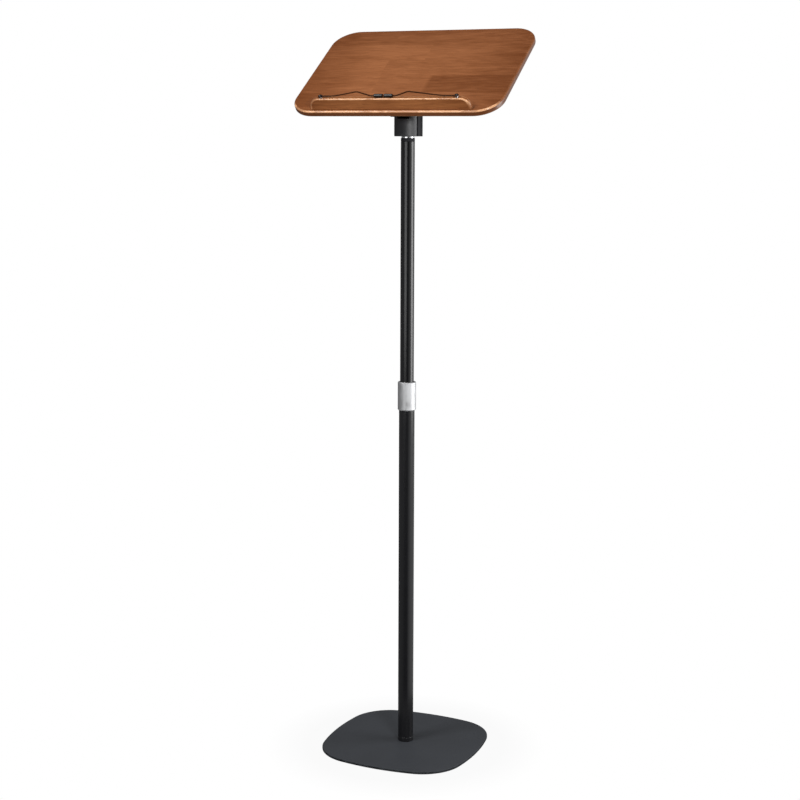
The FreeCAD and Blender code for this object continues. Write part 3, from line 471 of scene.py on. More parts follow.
@dataclass(frozen=True)
class GrainedFinish(Finish):
    """Paint, moulded plastic or rubber: a plain colour over a fine pebbled surface.

    Attributes:
        colour: Colour of the surface.
        roughness: Middle of the roughness range.
        grain: Pebbles for each metre.
        relief: Strength of the pebbles.
        specular: Level of the plain reflection.
        unevenness: How far colour and roughness stray in broad patches.
        edge_tone: Share of the colour on the marked edges: lighter where they are scuffed, and on the floor
            plate far darker, as a painted shade on its upright side.
        edge_strength: How far the marked edges take that share.
        breakup: Breaks in the rubbed edges for each metre.
        patches: Broad patches for each metre.
        pebble_height: Height of a pebble as a share of its width.
    """

    colour: Colour
    roughness: float
    grain: float = 900.0
    relief: float = 0.2
    specular: float = 0.5
    unevenness: float = 0.06
    edge_tone: float = 1.5
    edge_strength: float = 0.7
    breakup: float = 140.0
    patches: float = 11.0
    pebble_height: float = 0.3

    def sockets(self, wiring: Wiring, effects: SharedEffects) -> dict[str, Any]:
        """What feeds each socket of the shader.

        Args:
            wiring: The material's wiring.
            effects: The shared node groups.

        Returns:
            Values and sockets, by the name of what they feed.
        """
        grain = wiring.group(effects.grain, {"Grain": self.grain, "Patch": self.patches})
        wear = wiring.group(effects.wear, {"Amount": self.edge_strength, "Breakup": self.breakup})["Mask"]
        low, high = shaded(self.colour, 1 - self.unevenness), shaded(self.colour, 1 + self.unevenness)
        plain = wiring.blend(wiring.ramp(grain["Patch"], PATCH_TONES), low, high)
        gloss = Ramp.around(self.roughness, self.roughness * self.unevenness)
        return {
            # Marked edges: lighter scuffs on most finishes, a painted shade on the floor plate's side.
            "Base Color": wiring.blend(wear, plain, shaded(self.colour, self.edge_tone)),
            "Roughness": wiring.ramp(grain["Patch"], gloss),
            "Specular IOR Level": self.specular,
            "Normal": wiring.bump(grain["Height"], self.relief, self.pebble_height / self.grain),
        }


@dataclass(frozen=True)
class MetalFinish(Finish):
    """Bare metal with hair lines and slightly uneven polish.

    Attributes:
        colour: Colour of the metal.
        roughness: Middle of the roughness range.
        stretch: How often the hair lines change along x, y and z, for each metre.
        relief: Strength of the hair lines.
        unevenness: How far the roughness strays in patches.
        line_depth: Depth of the hair lines.
        line_shade: Share of the colour that is left in them.
        edge_tone: Share of the colour on the marked edges, lighter where they are scuffed.
        edge_strength: How far the marked edges take that share.
        breakup: Breaks in the rubbed edges for each metre.
        patches: Patches for each metre.
    """

    colour: Colour
    roughness: float
    stretch: tuple[float, float, float] = (40.0, 40.0, 3000.0)
    relief: float = 0.1
    unevenness: float = 0.2
    line_depth: float = 0.00005
    line_shade: float = 0.94
    edge_tone: float = 1.08
    edge_strength: float = 0.5
    breakup: float = 200.0
    patches: float = 60.0

    def sockets(self, wiring: Wiring, effects: SharedEffects) -> dict[str, Any]:
        """What feeds each socket of the shader.

        Args:
            wiring: The material's wiring.
            effects: The shared node groups.

        Returns:
            Values and sockets, by the name of what they feed.
        """
        lines = wiring.group(effects.brushed, {"Stretch": self.stretch, "Patch": self.patches})
        wear = wiring.group(effects.wear, {"Amount": self.edge_strength, "Breakup": self.breakup})["Mask"]
        streak = wiring.ramp(lines["Height"], Ramp(*NOISE_SPAN))
        plain = wiring.blend(streak, shaded(self.colour, self.line_shade), self.colour)
        gloss = Ramp.around(self.roughness, self.roughness * self.unevenness)
        return {
            "Base Color": wiring.blend(wear, plain, shaded(self.colour, self.edge_tone)),
            "Roughness": wiring.ramp(lines["Patch"], gloss),
            "Metallic": 1.0,
            "Normal": wiring.bump(lines["Height"], self.relief, self.line_depth),
        }


@dataclass(frozen=True)
class WoodFinish(Finish):
    """Stained and lacquered staves, glued edge to edge, with the grain along the board.

    Attributes:
        frame: Carries the board's own axes to the frame's.
        stave_width: Width of one stave.
        stave_length: Length of one stave.
        seam: Place of one seam, across the board.
        dark_start: Where the dark stave beyond that seam starts, along the board.
        seed: Picks the tones and joints.
        dark: Deepest tone of the stain.
        light: Palest tone of the stain.
        rim: Tone of the painted highlight on the front rounded edges.
        rim_highlight: How far the front edges take that painted highlight.
        rim_highlight_breakup: Breaks in the painted highlight for each metre.
        foot_shade: How far a painted shade line darkens the corner where the piece stands on the board.
        middle: Middle of the tones, from the deepest to the palest.
        stave_spread: How far the staves' tones differ.
        margin_depth: How much darker the board is towards its left, right and far margins.
        band_spread: How far the growth bands' tones differ.
        fibre_spread: How far the fibres' tones differ.
        pore_depth: How dark the pores are.
        side_shade_depth: How far the board's sides, and less its underside, take a painted shade.
        side_shade: Colour of that painted shade, as a share of the deepest tone.
        relief: Strength of the open grain.
        grain_depth: Depth of the open grain.
        roughness: Middle of the wood's roughness range.
        roughness_spread: How far it strays.
        specular: Level of the wood's plain reflection.
        lacquer: Weight of the lacquer.
        lacquer_roughness: Roughness of the lacquer.
    """

    frame: Matrix
    stave_width: float = 0.052
    stave_length: float = 0.25
    seam: float = -0.014
    dark_start: float = 0.040
    seed: float = 3.0
    dark: Colour = (0.150, 0.043, 0.010, 1.0)
    light: Colour = (0.384, 0.144, 0.054, 1.0)
    rim: Colour = (0.62, 0.33, 0.17, 1.0)
    rim_highlight: float = 4.0
    rim_highlight_breakup: float = 40.0
    foot_shade: float = 0.0
    middle: float = 0.475
    stave_spread: float = 0.16
    margin_depth: float = 0.4
    band_spread: float = 0.13
    fibre_spread: float = 0.16
    pore_depth: float = 0.45
    side_shade_depth: float = 0.75
    side_shade: float = 0.6
    relief: float = 0.06
    grain_depth: float = 0.0002
    roughness: float = 0.36
    roughness_spread: float = 0.05
    specular: float = 0.2
    lacquer: float = 0.45
    lacquer_roughness: float = 0.22

    def sockets(self, wiring: Wiring, effects: SharedEffects) -> dict[str, Any]:
        """What feeds each socket of the shader.

        Args:
            wiring: The material's wiring.
            effects: The shared node groups.

        Returns:
            Values and sockets, by the name of what they feed.
        """
        to_board = self.frame.inverted()
        turned = {
            "Vector": wiring.place(),
            "Location": to_board.translation,
            "Rotation": to_board.to_euler(),
        }
        wood = wiring.group(
            effects.wood,
            {
                "Place": wiring.value("ShaderNodeMapping", turned),
                "Stave Width": self.stave_width,
                "Stave Length": self.stave_length,
                "Seam": self.seam,
                "Dark Start": self.dark_start,
                "Seed": self.seed,
            },
        )
        wear = wiring.group(effects.wear, {"Amount": self.rim_highlight, "Breakup": self.rim_highlight_breakup})["Mask"]
        # Painted shade on the board's sides and, less, its underside.
        side = wiring.math("MULTIPLY", wood["Side"], self.side_shade_depth)
        # Painted shade line along the ledge's foot.
        side = wiring.math("MULTIPLY_ADD", wood["Foot"], self.foot_shade, side)
        pores = wiring.math("MULTIPLY", wood["Pores"], self.pore_depth)
        colour = wiring.blend(self.tone(wiring, wood), self.dark, self.light)
        colour = wiring.blend(pores, colour, self.dark)
        # Painted highlight: the front rounded edges take the rim tone.
        colour = wiring.blend(wiring.math("MULTIPLY", wear, wood["Front"]), colour, self.rim)
        gloss = Ramp.around(self.roughness, self.roughness_spread)
        open_grain = wiring.math("SUBTRACT", wood["Fibre"], wood["Pores"])
        return {
            "Base Color": wiring.blend(side, colour, shaded(self.dark, self.side_shade)),
            "Roughness": wiring.ramp(wood["Bands"], gloss),
            "Specular IOR Level": self.specular,
            "Coat Weight": self.lacquer,
            "Coat Roughness": self.lacquer_roughness,
            "Normal": wiring.bump(open_grain, self.relief, self.grain_depth),
        }

    def tone(self, wiring: Wiring, wood: Sockets) -> NodeSocket:
        """How pale the wood is, from its staves, its darker margins, growth bands and fibres.

        Args:
            wiring: The material's wiring.
            wood: What the wood group puts out.

        Returns:
            The tone, from the deepest to the palest.
        """
        tone = wiring.math("MULTIPLY_ADD", wood["Tone"], self.stave_spread, self.middle)
        tone = wiring.math("MULTIPLY_ADD", wood["Margin"], -self.margin_depth, tone)
        bands = wiring.ramp(wood["Bands"], Ramp.around(0.0, self.band_spread))
        fibre = wiring.ramp(wood["Fibre"], Ramp.around(0.0, self.fibre_spread))
        return wiring.math("ADD", wiring.math("ADD", tone, bands), fibre)


FINISHES: dict[Slot, Finish] = {
    # Floor plate: its near-black edge tone is a painted shade on the marked upright side.
    Slot.BASE_PAINT: GrainedFinish((0.041, 0.044, 0.050, 1.0), 0.55, 1100.0, 0.35, 0.12, edge_tone=0.05),
    Slot.TUBE_PAINT: GrainedFinish((0.007, 0.007, 0.008, 1.0), 0.2, 1600.0, 0.015, 0.5),
    Slot.BRACKET_PAINT: GrainedFinish((0.016, 0.016, 0.018, 1.0), 0.45, 1100.0, 0.3, 0.2),
    Slot.FOAM_RUBBER: GrainedFinish((0.020, 0.020, 0.022, 1.0), 0.85, 700.0, 0.6, 0.1),
    Slot.BLACK_STEEL: GrainedFinish((0.008, 0.008, 0.009, 1.0), 0.25, 1500.0, 0.1, 0.4),
    Slot.BEARING_PLASTIC: GrainedFinish((0.58, 0.58, 0.55, 1.0), 0.45, 1200.0, 0.1, edge_tone=1.1),
    Slot.BLACK_PLASTIC: GrainedFinish((0.016, 0.017, 0.020, 1.0), 0.52, 1300.0, 0.25, 0.8),
    Slot.SPRING_WIRE: GrainedFinish((0.036, 0.012, 0.004, 1.0), 0.5, 1500.0, 0.1, 0.06, edge_tone=1.2),
    Slot.SLEEVE_VINYL: GrainedFinish((0.008, 0.005, 0.004, 1.0), 0.1, 900.0, 0.02, 0.25, edge_tone=1.0),
    Slot.ZINC_STEEL: MetalFinish((0.62, 0.63, 0.65, 1.0), 0.3, (900.0, 900.0, 900.0)),
    Slot.BRUSHED_ALUMINIUM: MetalFinish((0.59, 0.595, 0.605, 1.0), 0.5, (2600.0, 2600.0, 30.0), 0.3),
    Slot.CHROME: MetalFinish((0.80, 0.81, 0.83, 1.0), 0.2, relief=0.02),
    Slot.BRASS: MetalFinish((0.72, 0.50, 0.22, 1.0), 0.28, (800.0, 800.0, 800.0)),
}
MATT_PLASTIC = GrainedFinish((0.010, 0.010, 0.012, 1.0), 0.75, 1300.0, 0.4, 0.25)


class Palette:
    """Every finish of the stand, made once.

    Attributes:
        effects: The shared node groups.
        materials: The finished material of each slot.
        matt_plastic: The duller black of the head's cover and the pole's cap.
    """

    def __init__(self) -> None:
        """Make the material of every slot but the wood, which follows its own piece."""
        self.effects = SharedEffects()
        self.materials = {slot: finish.build(slot.value, self.effects) for slot, finish in FINISHES.items()}
        self.matt_plastic = MATT_PLASTIC.build("matt_plastic", self.effects)

    def dress_frame(self) -> None:
        """Give the frame's own pieces the finish of their slot."""
        by_name = {slot.value: material for slot, material in self.materials.items()}
        for node in frame["nodes"].values():
            for holder in node.material_slots:
                name = holder.material.name.split(".")[0]
                holder.material = by_name.get(name, holder.material)


def rounded_outline(corners: Sequence[Corner], steps: int = 4) -> list[Point]:
    """Draw a closed polygon whose corners are rounded.

    Args:
        corners: x, y and radius of each corner, in order.
        steps: Segments in each rounded corner.

    Returns:
        The points of the outline.
    """
    points = []
    for index, (x, y, radius) in enumerate(corners):
        corner = Vector((x, y))
        inward = (corner - Vector(corners[index - 1][:2])).normalized()
        outward = (Vector(corners[(index + 1) % len(corners)][:2]) - corner).normalized()
        turn = math.atan2(inward.cross(outward), inward.dot(outward))
        if radius <= 0 or abs(turn) < FLAT_ANGLE:
            points.append((x, y))
            continue
        start = corner - inward * radius * math.tan(abs(turn) / 2)
        spoke = Vector((inward.y, -inward.x)) * math.copysign(radius, turn)
        centre = start - spoke
        for step in range(steps + 1):
            points.append(tuple(centre + Matrix.Rotation(turn * step / steps, 2) @ spoke))
    return points


def new_mesh(points: Sequence[Sequence[float]], faces: Sequence[Sequence[int]]) -> Mesh:
    """Make a mesh from points and faces.

    Args:
        points: The points.
        faces: Places of each face's corners among the points.

    Returns:
        The mesh.
    """
    mesh = bpy.data.meshes.new("piece")
    mesh.from_pydata(points, [], faces)
    return mesh


def placed(mesh: Mesh, place: Matrix) -> Mesh:
    """Move a mesh to its place and return it."""
    mesh.transform(place)
    return mesh


def lathe(outline: Sequence[Point], sides: int = 96) -> Mesh:
    """Turn a closed outline about the Z axis.

    Args:
        outline: Radius and height of each point.
        sides: Segments round the axis.

    Returns:
        The turned mesh.
    """
    points, faces = [], []
    for radius, height in outline:
        for side in range(sides):
            angle = TURN * side / sides
            points.append((radius * math.cos(angle), radius * math.sin(angle), height))
    for index, (radius, _) in enumerate(outline):
        after = (index + 1) % len(outline)
        if radius <= 0 and outline[after][0] <= 0:
            continue
        for side in range(sides):
            beside = (side + 1) % sides
            low, high = index * sides, after * sides
            faces.append((low + side, low + beside, high + beside, high + side))
    return new_mesh(points, faces)


def slab(outline: Outline, low: float, high: float, rounding: float, steps: int = 6) -> Mesh:
    """Make a plate between two levels, with both rims rounded.

    Args:
        outline: Gives the plate's outline, drawn in by the distance that it is called with.
        low: Level of the underside.
        high: Level of the upper side.
        rounding: Radius of the rims.
        steps: Segments across each rim.

    Returns:
        The plate, with a narrow flat border inside each rim.
    """
    angles = [QUARTER * step / steps for step in range(steps + 1)]
    border = RIM_BORDER * rounding
    levels = [(border, low)]
    levels += [(rounding * (1 - math.sin(a)), low + rounding * (1 - math.cos(a))) for a in angles]
    levels += [(rounding * (1 - math.cos(a)), high - rounding * (1 - math.sin(a))) for a in angles]
    levels.append((border, high))
    rings = [[(x, y, level) for x, y in outline(inset)] for inset, level in levels]
    count = len(rings[0])
    points = [point for ring in rings for point in ring]
    faces = [tuple(reversed(range(count))), tuple(range(len(points) - count, len(points)))]
    for start in range(0, len(points) - count, count):
        for step in range(count):
            after = (step + 1) % count
            faces.append((start + step, start + after, start + count + after, start + count + step))
    return new_mesh(points, faces)


def put(name: str, data: bpy.types.ID) -> Object:
    """Put an object into the scene.

    Args:
        name: The object's name.
        data: Its mesh, light or camera.

    Returns:
        The object.
    """
    item = bpy.data.objects.new(name, data)
    bpy.context.scene.collection.objects.link(item)
    return item


def applied(mesh: Mesh, kind: str, inputs: dict[str, Any] | None = None, **settings: Any) -> Mesh:
    """Run one modifier on a mesh.

    Args:
        mesh: The mesh to change.
        kind: Type of the modifier.
        inputs: Inputs of its node tree, by identifier.
        settings: Its properties.

    Returns:
        The result as a plain mesh.
    """
    host = put("host", mesh)
    modifier = host.modifiers.new(kind.lower(), kind)
    for name, value in settings.items():
        setattr(modifier, name, value)
    for identifier, value in (inputs or {}).items():
        modifier[identifier] = value
    graph = bpy.context.evaluated_depsgraph_get()
    result = bpy.data.meshes.new_from_object(host.evaluated_get(graph))
    host.modifiers.remove(modifier)
    bpy.data.objects.remove(host)
    return result


def cut_by(mesh: Mesh, cutter: Mesh) -> Mesh:
    """Take one mesh out of another.

    Args:
        mesh: The mesh to cut.
        cutter: What is taken out of it.

    Returns:
        What is left.
    """
    tool = put("cutter", cutter)
    result = applied(mesh, "BOOLEAN", operation="DIFFERENCE", solver="EXACT", object=tool)
    bpy.data.objects.remove(tool)
    return result


def grown(tree: NodeTree, mesh: Mesh, values: dict[str, Any]) -> Mesh:
    """Run a geometry tree on a mesh.

    Args:
        tree: The geometry node tree.
        mesh: What the tree starts from.
        values: Its inputs, by name.

    Returns:
        The result as a plain mesh.
    """
    sockets = {item.name: item.identifier for item in tree.interface.items_tree if item.in_out == "INPUT"}
    inputs = {sockets[name]: value for name, value in values.items()}
    return applied(mesh, "NODES", inputs, node_group=tree)


def polished(mesh: Mesh, crease: float = CREASE) -> Mesh:
    """Weld a mesh, face it outwards, mark its rounded edges and smooth its shading.

    Args:
        mesh: The mesh to finish.
        crease: Angle past which an edge stays sharp.

    Returns:
        The finished mesh, with an attribute named edge.
    """
    shape = bmesh.new()
    shape.from_mesh(mesh)
    bmesh.ops.remove_doubles(shape, verts=shape.verts, dist=WELD)
    bmesh.ops.recalc_face_normals(shape, faces=shape.faces)
    marks = shape.verts.layers.float.new("edge")
    for vertex in shape.verts:
        bends = [edge.calc_face_angle_signed(0.0) for edge in vertex.link_edges]
        bend = max((angle for angle in bends if angle < crease), default=0.0)
        vertex[marks] = min(max((bend - SOFT_BEND) / (FULL_BEND - SOFT_BEND), 0.0), 1.0)
    shape.to_mesh(mesh)
    shape.free()
    mesh.shade_smooth()
    mesh.set_sharp_from_angle(angle=crease)
    return applied(mesh, "WEIGHTED_NORMAL", keep_sharp=True)


def refined(node: str, rounding: float) -> Mesh:
    """Copy one of the frame's pieces and break its sharp edges.

    Args:
        node: The piece to copy.
        rounding: Width of the broken edges.

    Returns:
        The welded copy with rounded edges.
    """
    shape = bmesh.new()
    shape.from_mesh(frame["nodes"][node].data)
    bmesh.ops.remove_doubles(shape, verts=shape.verts, dist=WELD)
    bmesh.ops.dissolve_limit(shape, angle_limit=FLAT_ANGLE, verts=shape.verts, edges=shape.edges)
    sharp = [edge for edge in shape.edges if edge.is_manifold and edge.calc_face_angle() > SHARP_ANGLE]
    bevel = {"offset": rounding, "segments": BEVEL_STEPS, "profile": ROUND_PROFILE, "affect": "EDGES"}
    bmesh.ops.bevel(shape, geom=sharp, clamp_overlap=True, **bevel)
    mesh = bpy.data.meshes.new(node)
    shape.to_mesh(mesh)
    shape.free()
    return mesh


class PatternTrees:
    """Geometry node trees for what repeats or follows a path.

    Attributes:
        rows: Copies of one piece in straight rows.
        wire: Round wire along a bent route.
        scallops: Finger grips round a knob.
    """

    GRIP_SHARPNESS = 2.5

    def __init__(self) -> None:
        """Build every tree once."""
        self.rows = self._rows()
        self.wire = self._wire()
        self.scallops = self._scallops()

    def _rows(self) -> NodeTree:
        """Copies of one piece in straight rows, joined as one mesh.

        Returns:
            The geometry tree.
        """
        wiring, given, out = new_tree(
            "rows",
            "GeometryNodeTree",
            {
                "Piece": Socket.SHAPE,
                "Count X": Socket.WHOLE,
                "Count Y": Socket.WHOLE,
                "Width": Socket.NUMBER,
                "Depth": Socket.NUMBER,
                "Middle": Socket.VECTOR,
                "Finish": Socket.FINISH,
            },
            {"Pieces": Socket.SHAPE},
        )
        grid = wiring.value(
            "GeometryNodeMeshGrid",
            {
                "Size X": given["Width"],
                "Size Y": given["Depth"],
                "Vertices X": given["Count X"],
                "Vertices Y": given["Count Y"],
            },
        )
        spots = wiring.value("GeometryNodeTransform", {"Geometry": grid, "Translation": given["Middle"]})
        copies = wiring.value("GeometryNodeInstanceOnPoints", {"Points": spots, "Instance": given["Piece"]})
        self._end(wiring, copies, given["Finish"], out["Pieces"])
        return wiring.tree

    def _wire(self) -> NodeTree:
        """Round wire along a polyline, bent at each corner to the radius that the corner holds.

        Returns:
            The geometry tree.
        """
        wiring, given, out = new_tree(
            "wire",
            "GeometryNodeTree",
            {
                "Route": Socket.SHAPE,
                "Diameter": Socket.NUMBER,
                "Sides": Socket.WHOLE,
                "Bend Steps": Socket.WHOLE,
                "Finish": Socket.FINISH,
            },
            {"Wire": Socket.SHAPE},
        )
        route = wiring.value("GeometryNodeMeshToCurve", {0: given["Route"]})
        bend = wiring.value("GeometryNodeInputNamedAttribute", {"Name": "bend"}, data_type="FLOAT")
        fillet = {"Curve": route, "Count": given["Bend Steps"], "Radius": bend, "Limit Radius": True}
        bent = wiring.value("GeometryNodeFilletCurve", fillet, mode="POLY")
        circle = {"Resolution": given["Sides"], "Radius": wiring.math("DIVIDE", given["Diameter"], 2.0)}
        section = wiring.value("GeometryNodeCurvePrimitiveCircle", circle)
        sweep = {"Curve": bent, "Profile Curve": section, "Fill Caps": True}
        self._end(wiring, wiring.value("GeometryNodeCurveToMesh", sweep), given["Finish"], out["Wire"])
        return wiring.tree

    def _scallops(self) -> NodeTree:
        """Finger grips round the rim of a turned knob.

        Returns:
            The geometry tree.
        """
        wiring, given, out = new_tree(
            "scallops",
            "GeometryNodeTree",
            {
                "Knob": Socket.SHAPE,
                "Grips": Socket.WHOLE,
                "Depth": Socket.NUMBER,
                "Radius": Socket.NUMBER,
                "Rim": Socket.NUMBER,
                "Finish": Socket.FINISH,
            },
            {"Knob": Socket.SHAPE},
        )
        place = wiring.value("GeometryNodeInputPosition")
        x, y, _ = wiring.node("ShaderNodeSeparateXYZ", {0: place}).outputs
        flat = wiring.vector("MULTIPLY", place, (1.0, 1.0, 0.0))
        wave = wiring.math("COSINE", wiring.math("MULTIPLY", wiring.math("ARCTAN2", y, x), given["Grips"]))
        dip = wiring.math("POWER", wiring.math("MULTIPLY_ADD", wave, 0.5, 0.5), self.GRIP_SHARPNESS)
        inner = wiring.math("SUBTRACT", given["Radius"], given["Rim"])
        beyond = wiring.math("SUBTRACT", wiring.measure("LENGTH", flat), inner)
        near_rim = wiring.math("MAXIMUM", wiring.math("DIVIDE", beyond, given["Rim"]), 0.0)
        inwards = wiring.math("MULTIPLY", wiring.math("MULTIPLY", dip, near_rim), given["Depth"])
        push = {0: wiring.vector("NORMALIZE", flat), "Scale": wiring.math("MULTIPLY", inwards, -1.0)}
        offset = wiring.value("ShaderNodeVectorMath", push, operation="SCALE")
        moved = wiring.value("GeometryNodeSetPosition", {"Geometry": given["Knob"], "Offset": offset})
        self._end(wiring, moved, given["Finish"], out["Knob"])
        return wiring.tree

    def _end(self, wiring: Wiring, shape: Any, finish: Any, sink: NodeSocket) -> None:
        """Realize what a tree has made, give it its finish and put it out.

        Args:
            wiring: The tree's wiring.
            shape: What it has made.
            finish: The material for it.
            sink: The socket that puts it out.
        """
        real = wiring.value("GeometryNodeRealizeInstances", {0: shape})
        dressed = wiring.value("GeometryNodeSetMaterial", {"Geometry": real, "Material": finish})
        wiring.feed(sink, dressed)


def joint(name: str) -> dict[str, Any]:
    """The frame's joint of that name."""
    return next(entry for entry in frame["joints"] if entry["name"] == name)


def levels(node: str) -> tuple[float, float]:
    """Lowest and highest level of one of the frame's pieces."""
    low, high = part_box(node)
    return low.z, high.z


def radius_of(node: str) -> float:
    """Outer radius of an upright round piece of the frame."""
    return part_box(node)[1].x


@dataclass
class SubAssembly:
    """A group of pieces that ride on the frame's bodies.

    Attributes:
        palette: The finishes.
        trees: The geometry node trees.
    """

    palette: Palette
    trees: PatternTrees

    def add(
        self,
        name: str,
        mesh: Mesh,
        body: Body,
        slot: Slot,
        node: str,
        material: Material | None = None,
    ) -> None:
        """Put a finished piece on its body.

        Args:
            name: The piece's name.
            mesh: Its finished mesh.
            body: The body that it rides on.
            slot: The record's slot of its finish.
            node: The frame's piece that it stands for.
            material: Its own material, where it isn't the slot's.
        """
        piece = put(name, mesh)
        mesh.name = name
        mesh.materials.clear()
        mesh.materials.append(material or self.palette.materials[slot])
        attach(piece, body.value)
        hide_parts(node)
        LOG.info("%s: %d faces on %s", name, len(mesh.polygons), body.value)

    def in_rows(
        self, mesh: Mesh, slot: Slot, counts: tuple[int, int], spans: Point, middle: float = 0.0
    ) -> Mesh:
        """Repeat a piece in rows along x and y.

        Args:
            mesh: One piece, on the Z axis.
            slot: Slot of its finish.
            counts: How many stand along x and along y.
            spans: Distance between the outermost ones along x and y.
            middle: Where the rows' middle lies along y.

        Returns:
            The pieces as one mesh.
        """
        values = {
            "Count X": counts[0],
            "Count Y": counts[1],
            "Width": spans[0],
            "Depth": spans[1],
            "Middle": (0.0, middle, 0.0),
            "Finish": self.palette.materials[slot],
        }
        return grown(self.trees.rows, mesh, values)


@dataclass
class FloorBase(SubAssembly):
    """Steel floor plate on its pad, with the foot of the pole.

    Attributes:
        half_width: Half of the plate's width.
        side_radius: Radius of the plate's slightly bulging sides.
        corner_radius: Radius of its corners.
        corner_steps: Segments in each corner and side.
        rim_round: Radius of the plate's rims.
        pad_inset: How far the pad's edge lies inside the plate's.
        pad_round: Radius of the pad's rims.
        tube_bore: Radius of the plug inside the lower tube.
        bolt_bore: Radius of the bolt's hole in the plug.
        band_height: Height of the band that stands on the plate.
        band_round: Radius of the band's edges.
    """

    half_width: float = 0.1405
    side_radius: float = 0.400
    corner_radius: float = 0.080
    corner_steps: int = 28
    rim_round: float = 0.0012
    pad_inset: float = 0.003
    pad_round: float = 0.0003
    tube_bore: float = 0.01295
    bolt_bore: float = 0.00405
    band_height: float = 0.008
    band_round: float = 0.0007

    def build(self) -> None:
        """Make and place every piece of the base."""
        low, high = levels("base_plate")
        plate = polished(slab(self.outline, low, high, self.rim_round))
        # Painted shade: the upright side is marked so that the base paint darkens it.
        self.mark_shaded_side(plate, high - self.rim_round / 2)
        self.add("floor_plate", plate, Body.BASE, Slot.BASE_PAINT, "base_plate")
        low, high = levels("base_pad")
        pad = polished(slab(self.pad_outline, low, high, self.pad_round, steps=3))
        self.add("floor_pad", pad, Body.BASE, Slot.FOAM_RUBBER, "base_pad")
        self.add("pole_foot", polished(self.foot()), Body.BASE, Slot.TUBE_PAINT, "foot_plug")

    def outline(self, inset: float) -> list[Point]:
        """Rounded square whose sides bulge slightly, drawn in by a distance.

        Args:
            inset: How far the outline is drawn in.

        Returns:
            The points of the outline.
        """
        half = self.half_width - inset
        side = self.side_radius - inset
        corner = self.corner_radius - inset
        offset = side - half
        corner_place = (math.sqrt(2 * (side - corner) ** 2 - offset**2) - offset) / 2
        swing = math.atan2(corner_place, corner_place + offset)
        points = []
        for quarter in range(4):
            turn = Matrix.Rotation(QUARTER * quarter, 2)
            for step in range(self.corner_steps):
                angle = swing * (2 * step / self.corner_steps - 1)
                points.append(turn @ Vector((side * math.cos(angle) - offset, side * math.sin(angle))))
            for step in range(self.corner_steps):
                angle = swing + (QUARTER - 2 * swing) * step / self.corner_steps
                spoke = Vector((math.cos(angle), math.sin(angle))) * corner
                points.append(turn @ (Vector((corner_place, corner_place)) + spoke))
        return [tuple(point) for point in points]

    def pad_outline(self, inset: float) -> list[Point]:
        """Outline of the pad, drawn in by a distance."""
        return self.outline(self.pad_inset + inset)

    def mark_shaded_side(self, plate: Mesh, level: float) -> None:
        """Mark the plate's upright side in place of its rims, to carry a painted shade."""
        for vertex, mark in zip(plate.vertices, plate.attributes["edge"].data):
            mark.value = float(vertex.co.z < level)

    def foot(self) -> Mesh:
        """Band and plug at the bottom of the pole.

        Returns:
            The mesh.
        """
        low, high = levels("foot_plug")
        radius = radius_of("foot_plug")
        shoulder = low + self.band_height
        corners = (
            (self.bolt_bore, low, 0.0),
            (radius, low, self.band_round),
            (radius, shoulder, self.band_round),
            (self.tube_bore, shoulder, 0.0),
            (self.tube_bore, high, self.band_round),
            (self.bolt_bore, high, 0.0),
        )
        return lathe(rounded_outline(corners))


@dataclass
class Pole(SubAssembly):
    """The two tubes of the telescopic pole.

    Attributes:
        lower_wall: Wall of the lower tube.
        upper_wall: Wall of the upper tube.
        end_round: Radius of the tubes' cut ends.
        cap_bore: Radius of the pin's hole in the top cap.
        band_height: Height of the cap's visible band.
        cap_fit: Gap between the cap's plug and the tube.
    """

    lower_wall: float = 0.001
    upper_wall: float = 0.0012
    end_round: float = 0.0004
    cap_bore: float = 0.00605
    band_height: float = 0.0059
    cap_fit: float = 0.00005

    def build(self) -> None:
        """Make and place both tubes and the cap."""
        lower = polished(self.tube("lower_tube", self.lower_wall))
        self.add("lower_pole_tube", lower, Body.BASE, Slot.TUBE_PAINT, "lower_tube")
        upper = polished(self.tube("upper_tube", self.upper_wall))
        self.add("upper_pole_tube", upper, Body.UPPER_POLE, Slot.TUBE_PAINT, "upper_tube")
        cap = polished(self.cap())
        matt = self.palette.matt_plastic
        self.add("pole_cap", cap, Body.UPPER_POLE, Slot.BLACK_PLASTIC, "tube_cap", matt)

    def tube(self, node: str, wall: float) -> Mesh:
        """Tube with softened ends, where one of the frame's tubes is.

        Args:
            node: The frame's tube.
            wall: Thickness of its wall.

        Returns:
            The mesh.
        """
        low, high = levels(node)
        outer = radius_of(node)
        inner = outer - wall
        corners = ((outer, low), (outer, high), (inner, high), (inner, low))
        outline = rounded_outline([(radius, level, self.end_round) for radius, level in corners])
        return lathe(outline, sides=128)

    def cap(self) -> Mesh:
        """Plug in the top of the upper tube, with its visible band.

        Returns:
            The mesh.
        """
        low, high = levels("tube_cap")
        outer = radius_of("tube_cap")
        shoulder = high - self.band_height
        plug = radius_of("upper_tube") - self.upper_wall - self.cap_fit
        corners = (
            (self.cap_bore, low, 0.0),
            (plug, low, self.end_round),
            (plug, shoulder, 0.0),
            (outer, shoulder, self.end_round),
            (outer, high, self.end_round),
            (self.cap_bore, high, 0.0),
        )
        return lathe(rounded_outline(corners))


